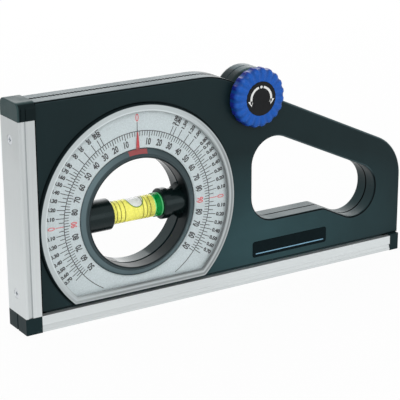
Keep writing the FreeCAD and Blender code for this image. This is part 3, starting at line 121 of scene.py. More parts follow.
class LevelStage(bpy.types.PropertyGroup):
    """Light and surroundings."""

    key: power("Key lamp", "Power of the key lamp", 3.9)
    fill: power("Fill lamp", "Power of the fill lamp", 0.80)
    back: power("Back lamp", "Power of the back lamp", 3.6)
    sky: FloatProperty(name="Surroundings", description="Strength of the surrounding light",
                       min=0.0, max=2.0, default=0.55)
    floor: EnumProperty(name="Floor", description="Colour of the floor",
                        items=[("WHITE", "White", "Plain white"), ("PALE", "Pale", "Pale grey")],
                        default="WHITE")


def add_node(tree, kind, *first, operation=None, **named):
    """A node; each of its inputs takes a plain value or another node's output."""
    node = tree.nodes.new(kind if kind.startswith("Node") else f"ShaderNode{kind}")
    if operation:
        node.operation = operation
    inputs = [(node.inputs[label.replace("_", " ")], value) for label, value in named.items()]
    for socket, value in [*zip(node.inputs, first), *inputs]:
        if isinstance(value, bpy.types.NodeSocket):
            tree.links.new(value, socket)
        else:
            socket.default_value = value
    return node


# Node groups that several finishes share

def new_group(name, **inputs):
    """A group, the outputs of its start, and a point's place on the piece."""
    group = bpy.data.node_groups.new(name, "ShaderNodeTree")
    for label, value in inputs.items():
        kind = "NodeSocketVector" if isinstance(value, tuple) else "NodeSocketFloat"
        socket = group.interface.new_socket(label, in_out="INPUT", socket_type=kind)
        socket.default_value = value
    start = group.nodes.new("NodeGroupInput").outputs
    return group, start, add_node(group, "TexCoord").outputs["Object"]


def put_out(group, **values):
    """Make and join the sockets of what a group puts out, and hand the group back."""
    for label, out in values.items():
        kind = "NodeSocketVector" if out.type == "VECTOR" else "NodeSocketFloat"
        group.interface.new_socket(label, in_out="OUTPUT", socket_type=kind)
    add_node(group, "NodeGroupOutput", **values)
    return group


def from_centre(group, start, place):
    """A point's place, measured from the group's centre."""
    shift = add_node(group, "VectorMath", place, start["Centre"], operation="SUBTRACT")
    return shift.outputs["Vector"]


def moulded_grain():
    """The normal of a fine pebbled surface."""
    group, start, place = new_group("moulded_grain", Scale=2500.0, Depth=0.01 * MM)
    grain = add_node(group, "TexNoise", Vector=place, Scale=start["Scale"], Detail=3.0)
    bump = add_node(group, "Bump", Height=grain.outputs["Fac"], Distance=start["Depth"])
    return put_out(group, Normal=bump.outputs["Normal"])


def handled():
    """Broad faint smudges from hands, as a roughness and a share between two colours."""
    group, start, place = new_group("handled", Scale=60.0, Low=0.3, High=0.4)
    cloud = add_node(group, "TexNoise", Vector=place, Scale=start["Scale"], Detail=5.0,
                     Roughness=0.6).outputs["Fac"]
    spread = add_node(group, "MapRange", Value=cloud, From_Min=0.35, From_Max=0.65,
                      To_Min=start["Low"], To_Max=start["High"])
    return put_out(group, Roughness=spread.outputs["Result"], Share=cloud)


def drawn_lines():
    """Fine lines that run along a drawn rail: their normal and a mask."""
    group, start, place = new_group("drawn_lines", Stretch=(4000.0, 4000.0, 20.0),
                                    Depth=0.01 * MM)
    scale = add_node(group, "VectorMath", place, start["Stretch"], operation="MULTIPLY")
    lines = add_node(group, "TexNoise", Vector=scale.outputs["Vector"], Scale=1.0,
                     Detail=4.0).outputs["Fac"]
    bump = add_node(group, "Bump", Height=lines, Distance=start["Depth"])
    return put_out(group, Normal=bump.outputs["Normal"], Mask=lines)


def bands_from_axis():
    """A point's place about a line that runs front to back; the slant is across less height."""
    group, start, place = new_group("bands_from_axis", Centre=(0.0, 0.0, 0.0))
    place = from_centre(group, start, place)
    flat = add_node(group, "VectorMath", place, (1.0, 0.0, 1.0), operation="MULTIPLY")
    size = add_node(group, "VectorMath", flat.outputs["Vector"], operation="LENGTH")
    x, y, z = add_node(group, "SeparateXYZ", place).outputs
    depth = add_node(group, "Math", y, operation="ABSOLUTE")
    slant = add_node(group, "Math", x, z, operation="SUBTRACT")
    return put_out(group, Radius=size.outputs["Value"], Depth=depth.outputs["Value"], Across=x,
                   Height=z, Slant=slant.outputs["Value"])


def flutes_round_axis():
    """A mask that is 1 in each of a number of hollows round a line from front to back."""
    group, start, place = new_group("flutes_round_axis", Centre=(0.0, 0.0, 0.0), Count=20.0)
    x, _, z = add_node(group, "SeparateXYZ", from_centre(group, start, place)).outputs
    turn = add_node(group, "Math", x, z, operation="ARCTAN2")
    times = add_node(group, "Math", turn.outputs["Value"], start["Count"], operation="MULTIPLY")
    wave = add_node(group, "Math", times.outputs["Value"], operation="COSINE")
    spread = add_node(group, "MapRange", Value=wave.outputs["Value"], From_Min=-1.0)
    return put_out(group, Hollow=spread.outputs["Result"])


def ball_distance():
    """How far a point stands from a stretched ball's middle, which is 1 on the ball."""
    group, start, place = new_group("ball_distance", Centre=(0.0, 0.0, 0.0),
                                    Reach=(1.0, 1.0, 1.0))
    share = add_node(group, "VectorMath", from_centre(group, start, place), start["Reach"],
                     operation="DIVIDE")
    size = add_node(group, "VectorMath", share.outputs["Vector"], operation="LENGTH")
    return put_out(group, Distance=size.outputs["Value"])


SHARED = {build.__name__: build for build in (
    moulded_grain, handled, drawn_lines, bands_from_axis, flutes_round_axis, ball_distance
)}


class Finish:
    """A material with its Principled shader, and short ways to add to it."""

    def __init__(self, name, base, metallic=0.0, roughness=0.4, **sockets):
        self.material = bpy.data.materials.new(name)
        self.material.use_nodes = True
        self.tree = self.material.node_tree
        self.shader = self.tree.nodes["Principled BSDF"]
        self.output = self.tree.nodes["Material Output"]
        self.set("Base Color", (*base, 1.0))
        self.set("Metallic", metallic)
        self.set("Roughness", roughness)
        for label, value in sockets.items():
            self.set(label.replace("_", " "), value)

    def set(self, label, value):
        self.shader.inputs[label].default_value = value

    def feed(self, out, label):
        """Let another node's output set one of the shader's inputs."""
        self.tree.links.new(out, self.shader.inputs[label])

    def base(self, out):
        self.feed(out, "Base Color")

    def add(self, kind, *first, operation=None, **named):
        return add_node(self.tree, kind, *first, operation=operation, **named).outputs

    def shared(self, name, **values):
        """The outputs of one of the shared node groups, with this finish's own values."""
        node = self.tree.nodes.new("ShaderNodeGroup")
        node.node_tree = bpy.data.node_groups.get(name) or SHARED[name]()
        for label, value in values.items():
            node.inputs[label].default_value = value
        return node.outputs

    def grain(self, scale, depth):
        self.feed(self.shared("moulded_grain", Scale=scale, Depth=depth)["Normal"], "Normal")

    def handling(self, scale, low, high):
        """Marks of handling in the gloss, and their share for a colour."""
        marks = self.shared("handled", Scale=scale, Low=low, High=high)
        self.feed(marks["Roughness"], "Roughness")
        return marks["Share"]

    def clouded(self, scale, low, high, dull, bright):
        """Marks of handling in the gloss and in the base colour."""
        tone = self.between(self.handling(scale, low, high), dull, bright)
        self.base(tone)
        return tone

    def mottled(self, scale, dull, bright):
        """A colour that wanders between two."""
        return self.between(self.shared("handled", Scale=scale)["Share"], dull, bright)

    def between(self, share, first, second):
        """A colour between two, by a share; each colour is a value or another node's output."""
        mix = self.tree.nodes.new("ShaderNodeMix")
        mix.data_type = "RGBA"
        self.tree.links.new(share, mix.inputs["Factor"])
        # A Mix node holds its two colours in sockets 6 and 7, and gives the third in socket 2
        for socket, value in ((mix.inputs[6], first), (mix.inputs[7], second)):
            if isinstance(value, bpy.types.NodeSocket):
                self.tree.links.new(value, socket)
            else:
                socket.default_value = (*value, 1.0)
        return mix.outputs[2]

    def step(self, value, low, high):
        """A mask that rises from 0 to 1 as a value goes from low to high."""
        return self.add("MapRange", Value=value, From_Min=low, From_Max=high)["Result"]

    def worked(self, operation, first, second=0.0):
        """A value from two others, each of them a number or another node's output."""
        return self.add("Math", first, second, operation=operation)["Value"]

    def both(self, first, second):
        """A mask of where two masks meet."""
        return self.worked("MULTIPLY", first, second)

    def either(self, first, second):
        """A mask of where one mask or the other is."""
        return self.worked("MAXIMUM", first, second)

    def distance(self, value, place):
        """How far a value is from a place, on either side of it."""
        return self.worked("ABSOLUTE", self.worked("SUBTRACT", value, place))

    def surface(self, share, first, second):
        """Make the surface of two shaders, by a share."""
        mixed = self.add("MixShader", share, first, second)["Shader"]
        self.tree.links.new(mixed, self.output.inputs["Surface"])
        return mixed

    def clear_shadow(self, tint, unseen=None):
        """Light passes straight on to what lies behind a clear piece, or where it is unseen."""
        share = self.add("LightPath")["Is Shadow Ray"]
        if unseen:
            share = self.either(share, unseen)
        through = self.add("BsdfTransparent", Color=(*tint, 1.0))["BSDF"]
        return self.surface(share, self.shader.outputs["BSDF"], through)


def lighter(value, share):
    return tuple(min(1.0, part * share) for part in value)


def shades(value, *shares):
    return [lighter(value, share) for share in shares]


def dress(finish, *names):
    for name in names:
        piece = NODES[name]
        piece.data.materials.clear()
        piece.data.materials.append(finish.material)


def add_piece(name, shape, finish, body):
    """A new piece from a bmesh, in its place, riding on a body."""
    mesh = bpy.data.meshes.new(name)
    shape.to_mesh(mesh)
    shape.free()
    if not mesh.polygons:
        raise RuntimeError(f"{name} has no faces")
    mesh.materials.append(finish.material)
    piece = bpy.data.objects.new(name, mesh)
    bpy.context.scene.collection.objects.link(piece)
    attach(piece, body)
    return piece


# Shapes that the print is made of

def add_bar(shape, turn, inner, outer, width, thick):
    """A thin bar on the scale that points away from the dial's centre; turn is clockwise."""
    place = (
        Matrix.Translation(Vector((DIAL.x, PLATE_FRONT - thick / 2, DIAL.z)))
        @ Matrix.Rotation(turn, 4, "Y")
        @ Matrix.Translation(Vector((0.0, 0.0, (inner + outer) / 2)))
        @ Matrix.Diagonal((width, thick, outer - inner, 1.0))
    )
    bmesh.ops.create_cube(shape, size=1.0, matrix=place)


def add_arc(shape, centre, start, end, inner, outer, front, thick, steps):
    """A flat band round a centre, from one turn to another."""
    corner_places = [(inner, front), (outer, front), (outer, front - thick),
                     (inner, front - thick)]
    around = Matrix.Rotation(start, 3, "Y")
    verts = [
        shape.verts.new(centre + around @ Vector((0.0, depth, reach)))
        for reach, depth in corner_places
    ]
    face = shape.faces.new(verts)
    bmesh.ops.spin(
        shape, geom=[face, *face.edges, *verts], cent=centre, axis=(0.0, 1.0, 0.0),
        angle=end - start, steps=steps, use_merge=False, use_duplicate=False,
    )


def close_up(shape):
    bmesh.ops.remove_doubles(shape, verts=shape.verts, dist=1e-7)
    bmesh.ops.recalc_face_normals(shape, faces=shape.faces)


def rod(middle, long, radius):
    """A round rod along the level."""
    shape = bmesh.new()
    bmesh.ops.create_cone(
        shape, cap_ends=True, segments=96, radius1=radius, radius2=radius, depth=long,
        matrix=Matrix.Translation(middle) @ Matrix.Rotation(math.pi / 2, 4, "Y"),
    )
    return shape


def ball(middle, reach):
    """A ball stretched to a reach on each axis."""
    shape = bmesh.new()
    bmesh.ops.create_uvsphere(
        shape, u_segments=64, v_segments=32, radius=1.0,
        matrix=Matrix.Translation(middle) @ Matrix.Diagonal((*reach, 1.0)),
    )
    return shape


def cut(first, second, operation):
    """The difference or overlap of two closed shapes."""
    holders = []
    for shape in (first, second):
        mesh = bpy.data.meshes.new("cutter")
        shape.to_mesh(mesh)
        shape.free()
        holder = bpy.data.objects.new("cutter", mesh)
        bpy.context.scene.collection.objects.link(holder)
        holders.append(holder)
    step = holders[0].modifiers.new("cut", "BOOLEAN")
    step.operation = operation
    step.solver = "EXACT"
    step.object = holders[1]
    view = bpy.context.evaluated_depsgraph_get()
    mesh = bpy.data.meshes.new_from_object(holders[0].evaluated_get(view))
    result = bmesh.new()
    result.from_mesh(mesh)
    bpy.data.meshes.remove(mesh)
    for holder in holders:
        spare = holder.data
        bpy.data.objects.remove(holder)
        bpy.data.meshes.remove(spare)
    return result


_letters = {}


def number_mesh(text, bold):
    """A number as a flat mesh, one unit high, about its own middle."""
    if (text, bold) in _letters:
        return _letters[text, bold]
    curve = bpy.data.curves.new("number", "FONT")
    curve.body = text
    curve.resolution_u = 3
    curve.offset = bold
    curve.extrude = 0.01
    holder = bpy.data.objects.new("number", curve)
    bpy.context.scene.collection.objects.link(holder)
    bpy.context.view_layer.update()
    view = bpy.context.evaluated_depsgraph_get()
    mesh = bpy.data.meshes.new_from_object(holder.evaluated_get(view))
    bpy.data.objects.remove(holder)
    bpy.data.curves.remove(curve)
    across = [vert.co.x for vert in mesh.vertices]
    up = [vert.co.y for vert in mesh.vertices]
    middle = Vector(((min(across) + max(across)) / 2, (min(up) + max(up)) / 2, 0.0))
    mesh.transform(Matrix.Scale(1.0 / (max(up) - min(up)), 4) @ Matrix.Translation(-middle))
    _letters[text, bold] = mesh
    return mesh


def add_number(shape, text, turn, radius, height, thick, radial=False, narrow=0.68, bold=0.036):
    """A number on the scale, with its middle at a radius, upright on the circle or along it."""
    mesh = number_mesh(text, bold).copy()
    lean = turn
    if radial:
        right_half = math.sin(turn) > -1e-6
        lean = turn - math.pi / 2 if right_half else turn + math.pi / 2
    flat = [vert.co.z for vert in mesh.vertices]
    deep = max(flat) - min(flat)
    mesh.transform(
        Matrix.Translation(
            Vector((DIAL.x + radius * math.sin(turn), PLATE_FRONT - thick / 2,
                    DIAL.z + radius * math.cos(turn)))
        )
        @ Matrix.Rotation(lean, 4, "Y")
        @ Matrix.Rotation(math.pi / 2, 4, "X")
        @ Matrix.Diagonal((height * narrow, height, thick / deep, 1.0))
    )
    shape.from_mesh(mesh)
    bpy.data.meshes.remove(mesh)


# Operators

class LEVEL_OT_rails(bpy.types.Operator):
    """Finish the aluminium rails as drawn metal, with painted light on their faces and painted
    shade in the groove
    """

    bl_idname = "level.rails"
    bl_label = "Finish rails"

    def execute(self, context):
        tone = context.scene.level_colours.metal
        groove, groove_half, soft = 2.23 * MM, 0.90 * MM, 0.25 * MM
        dull, bright = 0.93, 1.06
        for node, stretch in (("side_rail", (3000.0, 3000.0, 12.0)),
                              ("base_rail", (12.0, 3000.0, 3000.0))):
            finish = Finish(f"{node}_metal", tone, metallic=0.75, roughness=0.34)
            lines = finish.shared("drawn_lines", Stretch=stretch, Depth=0.004 * MM)
            finish.feed(lines["Normal"], "Normal")
            place = finish.shared("bands_from_axis", Centre=corners(node)[0])
            # Painted light: the side rail is painted lighter low down and darker high up, and the
            # base rail's upper land lighter than its lower band
            if node == "side_rail":
                across, light_levels = place["Across"], (1.08, 0.88)
                share = finish.step(place["Height"], 15.0 * MM, 80.0 * MM)
            else:
                across, light_levels = place["Height"], (1.04, 1.12)
                share = finish.step(across, 3.2 * MM, 3.4 * MM)
            lit_tones = [finish.between(lines["Mask"], *shades(tone, dull * level, bright * level))
                     for level in light_levels]
            # Painted shade: the groove is painted darker than the lands beside it
            inside = finish.step(finish.distance(across, groove), groove_half + soft,
                                 groove_half)
            finish.base(finish.between(inside, finish.between(share, *lit_tones),
                                       lighter(tone, 0.90)))
            finish.handling(45.0, 0.30, 0.42)
            dress(finish, node)
        return {"FINISHED"}


class LEVEL_OT_caps(bpy.types.Operator):
    """Finish the end caps as grained plastic, painted darker upwards as painted shade, with
    painted light on the outer faces at the top
    """

    bl_idname = "level.caps"
    bl_label = "Finish end caps"

    def execute(self, context):
        tone = context.scene.level_colours.caps
        finish = Finish("cap_plastic", tone, roughness=0.42, IOR=1.22, Specular_Tint=COOL)
        finish.grain(2600.0, 0.02 * MM)
        plain = finish.between(finish.handling(90.0, 0.36, 0.50), *shades(tone, 0.9, 1.6))
        place = finish.shared("bands_from_axis")
        # Painted shade: the caps are painted darker higher up
        upwards = finish.step(place["Height"], 20.0 * MM, 90.0 * MM)
        shade = finish.between(upwards, plain, lighter(tone, 0.5))
        # Painted light: the end face and top face of the top cap are painted paler
        low, high, _ = corners("top_end_cap")
        lit_end_face = finish.step(place["Across"], low.x + 0.8 * MM, low.x + 0.3 * MM)
        lit_top_face = finish.step(place["Height"], high.z - 0.8 * MM, high.z - 0.2 * MM)
        top_cap = finish.step(place["Height"], 60.0 * MM, 90.0 * MM)
        outer = finish.both(finish.either(lit_end_face, lit_top_face), top_cap)
        finish.base(finish.between(outer, shade, (0.036, 0.066, 0.068)))
        dress(finish, "top_end_cap", "corner_cap", "base_end_cap")
        return {"FINISHED"}


class LEVEL_OT_body(bpy.types.Operator):
    """Finish the two halves of the body as satin plastic, with painted sheen, highlights and shade
    """

    bl_idname = "level.body"
    bl_label = "Finish body"

    def execute(self, context):
        tone = context.scene.level_colours.shell
        finish = Finish("body_plastic", tone, roughness=0.36, IOR=1.17, Specular_Tint=COOL,
                        Specular_IOR_Level=1.0)
        finish.grain(3200.0, 0.012 * MM)
        marks = finish.shared("handled", Scale=35.0, Low=0.30, High=0.42)
        place = finish.shared("bands_from_axis")
        shade = self.polished(finish, marks["Share"], tone)
        # Painted reflection: the flat top is painted paler and cooler
        flat_top = 99.3 * MM
        painted_top_sheen = finish.step(place["Height"], flat_top - 0.8 * MM, flat_top - 0.2 * MM)
        shade = finish.between(painted_top_sheen, shade, (0.040, 0.078, 0.090))
        # Painted highlight on the rounded edges of the front and the back
        edge = self.front_edge(finish, place["Depth"])
        shade = finish.between(edge, shade, (0.050, 0.082, 0.090))
        # Off the grip the rounded edges are painted near black, as painted shade; the seam is a
        # real dark joint
        shaded_edge = finish.both(edge, finish.step(self.grip(finish, place), 1.0, 0.0))
        dark = finish.either(self.seam(finish, place), shaded_edge)
        finish.base(finish.between(dark, shade, (0.001, 0.002, 0.0025)))
        finish.feed(finish.either(marks["Roughness"], dark), "Roughness")
        dress(finish, "front_housing", "rear_housing")
        return {"FINISHED"}

    def polished(self, finish, marks, tone):
        """The satin is painted paler low in the middle, a painted sheen, and darker towards the
        far corners, a painted shade.
        """
        any_depth = 10.0
        away = finish.shared("ball_distance", Centre=(12.0 * MM, 0.0, 20.0 * MM),
                             Reach=(110.0 * MM, any_depth, 45.0 * MM))["Distance"]
        far = finish.between(marks, *shades(tone, 0.35, 0.65))
        near = finish.between(marks, *shades(tone, 1.45, 2.60))
        return finish.between(finish.step(away, 0.95, 0.10), far, near)

    def seam(self, finish, place):
        """The line where the halves meet, and the fine dashes beside it on the flat top."""
        lobe = finish.shared("bands_from_axis", Centre=KNOB)["Radius"]
        line = finish.both(finish.step(place["Depth"], 0.50 * MM, 0.42 * MM),
                           finish.step(lobe, 16.0 * MM, 16.5 * MM))
        pitch = 1.70 * MM
        wave = finish.worked("SINE", finish.worked("MULTIPLY", place["Across"], math.tau / pitch))
        dashes = finish.both(finish.step(wave, -0.6, -0.1),
                             finish.step(place["Depth"], 1.15 * MM, 0.95 * MM))
        flat_top = finish.step(place["Slant"], -100.0 * MM, -104.0 * MM)
        return finish.either(line, finish.both(dashes, flat_top))

    def front_edge(self, finish, depth):
        """The rounding along the outlines of the front and the back."""
        front = -corners("front_housing")[0].y
        return finish.both(finish.step(depth, front - 0.80 * MM, front - 0.40 * MM),
                           finish.step(depth, front - 0.02 * MM, front - 0.12 * MM))

    def grip(self, finish, place):
        """The sloping edge over the slot, where the rounded edge keeps its painted highlight."""
        steepness = 2.2
        slope = finish.worked("ADD", place["Across"],
                              finish.worked("MULTIPLY", place["Height"], steepness))
        return finish.both(finish.step(slope, 170.0 * MM, 178.0 * MM),
                           finish.step(place["Slant"], -85.0 * MM, -78.0 * MM))


class LEVEL_OT_badge(bpy.types.Operator):
    """Finish the name place as a bare dark plate with a fine pale edge line"""

    bl_idname = "level.badge"
    bl_label = "Finish name place"

    def execute(self, context):
        finish = Finish("plate_lacquer", (0.003, 0.008, 0.010), roughness=0.2, IOR=1.14,
                        Specular_Tint=COOL)
        finish.handling(120.0, 0.16, 0.28)
        finish.base(finish.mottled(300.0, (0.002, 0.006, 0.008), (0.004, 0.011, 0.013)))
        dress(finish, "badge_plate")
        line = Finish("pale_line", (0.20, 0.42, 0.58), roughness=0.35)
        line.base(line.mottled(900.0, (0.14, 0.33, 0.48), (0.28, 0.52, 0.68)))
        low, high, middle = corners("badge_plate")
        shape = bmesh.new()
        inset, wide, thick = 1.6 * MM, 0.45 * MM, 0.03 * MM
        size = (high.x - low.x - inset * 2, thick, wide)
        place = Vector((middle.x, low.y - thick / 2, low.z + inset))
        bmesh.ops.create_cube(
            shape, size=1.0, matrix=Matrix.Translation(place) @ Matrix.Diagonal((*size, 1.0))
        )
        add_piece("badge_line", shape, line, "frame")
        return {"FINISHED"}


class LEVEL_OT_scale(bpy.types.Operator):
    """Finish the scale plate as fine satin silver"""

    bl_idname = "level.scale"
    bl_label = "Finish scale plate"

    def execute(self, context):
        tone = context.scene.level_colours.plate
        finish = Finish("scale_silver", tone, metallic=0.15, roughness=0.42)
        finish.grain(5200.0, 0.006 * MM)
        finish.base(finish.mottled(1500.0, *shades(tone, 0.72, 1.28)))
        finish.handling(70.0, 0.38, 0.48)
        dress(finish, "scale_plate")
        return {"FINISHED"}


def ink(name, tone):
    finish = Finish(name, tone, roughness=0.5)
    finish.clouded(1500.0, 0.45, 0.6, *shades(tone, 0.8, 1.5))
    return finish


class LEVEL_OT_degree_print(bpy.types.Operator):
    """Print the degree ticks and numbers inside the circle"""

    bl_idname = "level.degree_print"
    bl_label = "Print degrees"

    def execute(self, context):
        sizes = context.scene.level_print
        black, red = bmesh.new(), bmesh.new()
        last, circle_end = 130, math.radians(150)
        long_tick, short_tick = 2.7 * MM, 2.0 * MM
        inner, outer = sizes.circle - sizes.line / 2, sizes.circle + sizes.line / 2
        for degree in range(-last, last + 1, 2):
            long, wide = (long_tick, sizes.line) if degree % 10 == 0 else (short_tick, sizes.tick)
            add_bar(black, math.radians(degree), inner - long, inner, wide, sizes.film)
        add_arc(black, DIAL, -circle_end, circle_end, inner, outer, PLATE_FRONT, sizes.film, 150)
        for side in (-1, 1):
            for turn in range(10, last + 1, 10):
                shown = min(turn, 180 - turn)
                add_number(red if shown == 90 else black, str(shown), math.radians(turn * side),
                           sizes.degree_radius, sizes.degree_height, sizes.film)
        colours = context.scene.level_colours
        close_up(black)
        add_piece("degree_print", black, ink("black_ink", colours.ink), "frame")
        add_piece("degree_nineties", red, ink("red_ink", colours.red), "frame")
        return {"FINISHED"}


class LEVEL_OT_slope_print(bpy.types.Operator):
    """Print the slope ticks and numbers outside the circle"""

    bl_idname = "level.slope_print"
    bl_label = "Print slopes"

    def execute(self, context):
        sizes = context.scene.level_print
        black, red = bmesh.new(), bmesh.new()
        start, level = sizes.circle + sizes.line / 2, math.pi / 2
        long_tick, short_tick, top_tick = 3.8 * MM, 2.2 * MM, 3.9 * MM
        gentle = [step / 20 for step in range(1, 17)]
        steep = [1.0, 1.2, 1.5, 1.8, 2.0]
        last_below = 0.7
        for side in (-1, 1):
            add_bar(red, level * side, start, start + long_tick, sizes.line, sizes.film)
            self.add_zero(red, level * side, sizes)
            for slope in gentle + steep:
                rise = math.atan(slope)
                numbered = slope in steep or round(slope * 20) % 2 == 0
                reach = start + (long_tick if numbered else short_tick)
                for turn in (level - rise, level + rise)[:2 if slope in gentle else 1]:
                    add_bar(black, turn * side, start, reach, sizes.line, sizes.film)
                    if numbered and (turn < level or slope <= last_below):
                        add_number(black, f"{slope:.2f}", turn * side, sizes.slope_radius,
                                   sizes.slope_height, sizes.film, radial=True, narrow=1.10,
                                   bold=0.055)
        add_bar(black, 0.0, start, start + top_tick, sizes.line, sizes.film)
        self.add_zero(red, 0.0, sizes)
        colours = context.scene.level_colours
        close_up(black)
        add_piece("slope_print", black, ink("black_ink_outer", colours.ink), "frame")
        add_piece("slope_zeros", red, ink("red_ink_outer", colours.red), "frame")
        return {"FINISHED"}

    def add_zero(self, shape, turn, sizes):
        height, lower = 3.5 * MM, 0.6 * MM
        add_number(shape, "0", turn, sizes.slope_radius - lower, height, sizes.film,
                   narrow=0.72, bold=0.010)


class LEVEL_OT_cover(bpy.types.Operator):
    """Finish the cover over the scale as clear moulded plastic, with painted light and shade on
    its rim
    """

    bl_idname = "level.cover"
    bl_label = "Finish cover"

    def execute(self, context):
        finish = Finish("cover_clear", (1.0, 1.0, 1.0), roughness=0.03, IOR=1.28,
                        Transmission_Weight=1.0)
        finish.handling(80.0, 0.015, 0.05)
        low, high, _ = corners("scale_cover")
        place = finish.shared("bands_from_axis", Centre=DIAL)
        hole = finish.step(place["Radius"], DRUM_RADIUS + 0.7 * MM, DRUM_RADIUS + 0.5 * MM)
        clear = finish.clear_shadow((0.97, 0.98, 0.98), hole)
        # The rim's steps follow the round and the flat foot, whichever edge is nearer
        from_round = finish.worked("SUBTRACT", high.x - DIAL.x, place["Radius"])
        from_foot = finish.worked("ADD", DIAL.z - low.z, place["Height"])
        inward = finish.worked("MINIMUM", from_round, from_foot)
        tone = self.rim_tone(finish, inward, place["Slant"])
        moulded = finish.add("BsdfDiffuse", Color=tone)["BSDF"]
        finish.surface(finish.step(inward, 3.5 * MM, 3.3 * MM), clear, moulded)
        dress(finish, "scale_cover")
        return {"FINISHED"}

    def rim_tone(self, finish, inward, slant):
        """The rim's colour by the way inward: painted light and shade of its steps at the lower
        right, pale elsewhere.
        """
        last = 3.4 * MM
        # Painted light and shade: the ramp's light and dark bands stand in for the rim's relief
        # steps catching the light
        steps = add_node(finish.tree, "ValToRGB", Fac=finish.step(inward, 0.0, last))
        stops = steps.color_ramp.elements
        for way, shade in ((0.0, 0.50), (0.4, 0.55), (1.1, 0.26), (1.55, 0.36), (2.05, 0.60),
                           (2.6, 0.42), (3.15, 0.16)):
            stop = stops.new(way * MM / last) if way else stops[0]
            stop.color = (shade * 0.94, shade * 1.02, shade * 1.04, 1.0)
        stops[-1].color = (0.44, 0.49, 0.50, 1.0)
        lower_right = finish.step(slant, -25.0 * MM, 25.0 * MM)
        # Painted highlight: a band just outside the window is painted paler, against the shade of
        # the fillet there
        foot = finish.step(finish.distance(inward, 3.05 * MM), 0.60 * MM, 0.25 * MM)
        pale = finish.between(foot, (0.52, 0.575, 0.585), (0.66, 0.725, 0.735))
        rim = finish.between(lower_right, pale, steps.outputs["Color"])
        # Painted reflection: the outer wall is painted dark, for the dark body reflected in it
        thinner = finish.worked("MULTIPLY", lower_right, 0.5 * MM)
        wall = finish.step(finish.worked("ADD", inward, thinner), 0.75 * MM, 0.55 * MM)
        return finish.between(wall, rim, (0.012, 0.020, 0.022))


class LEVEL_OT_drum(bpy.types.Operator):
    """Finish the drum's rings, with a black lip round the window and painted light and shade on
    the slate face
    """

    bl_idname = "level.drum"
    bl_label = "Finish drum"

    def execute(self, context):
        tone = context.scene.level_colours.drum
        finish = Finish("drum_slate", tone, roughness=0.38, IOR=1.30, Specular_Tint=COOL)
        finish.grain(3000.0, 0.01 * MM)
        finish.handling(60.0, 0.32, 0.44)
        place = finish.shared("bands_from_axis", Centre=DIAL)
        inward = finish.worked("SUBTRACT", DRUM_RADIUS, place["Radius"])
        # Painted shade: a dark line at the outer edge against the plate, and a darker inner band
        # on the slope inwards
        edge = finish.step(inward, 0.55 * MM, 0.30 * MM)
        shaded_collar = finish.step(inward, 2.10 * MM, 2.40 * MM)
        lip = finish.step(inward, 3.30 * MM, 3.50 * MM)
        # Painted light: the slate face is painted lighter at the lower left and darker at the
        # upper right
        shade_to_upper_right = finish.step(finish.worked("ADD", place["Across"], place["Height"]),
                                     0.0, 40.0 * MM)
        face = finish.between(shade_to_upper_right, *shades(tone, 1.55, 0.60))
        face = finish.between(shaded_collar, face, lighter(tone, 0.55))
        black = finish.either(lip, finish.worked("MULTIPLY", edge, 0.35))
        finish.base(finish.between(black, face, (0.003, 0.006, 0.007)))
        dress(finish, "dial_bezel")
        rear = Finish("drum_dark", (0.006, 0.018, 0.020), roughness=0.14, IOR=1.36,
                      Specular_Tint=COOL)
        rear.grain(3000.0, 0.01 * MM)
        rear.clouded(60.0, 0.10, 0.18, (0.005, 0.016, 0.018), (0.010, 0.024, 0.027))
        dress(rear, "dial_rear_ring")
        gears = Finish("gear_plastic", (0.010, 0.015, 0.017), roughness=0.45, IOR=1.35,
                       Specular_Tint=COOL)
        gears.grain(2500.0, 0.01 * MM)
        gears.clouded(150.0, 0.4, 0.55, (0.007, 0.012, 0.013), (0.014, 0.022, 0.024))
        dress(gears, "dial_gear", "idler_gear", "drive_pinion")
        return {"FINISHED"}


class LEVEL_OT_pointer(bpy.types.Operator):
    """Finish the red pointer, with its duller patch on the drum"""

    bl_idname = "level.pointer"
    bl_label = "Finish pointer"

    def execute(self, context):
        tone = context.scene.level_colours.pointer
        finish = Finish("pointer_paint", tone, roughness=0.35)
        needle = finish.clouded(400.0, 0.3, 0.45, *shades(tone, 0.85, 1.15))
        radius = finish.shared("bands_from_axis", Centre=DIAL)["Radius"]
        patch = finish.step(radius, DRUM_RADIUS + 1.1 * MM, DRUM_RADIUS + 0.5 * MM)
        finish.base(finish.between(patch, needle, (0.30, 0.055, 0.058)))
        dress(finish, "pointer")
        return {"FINISHED"}


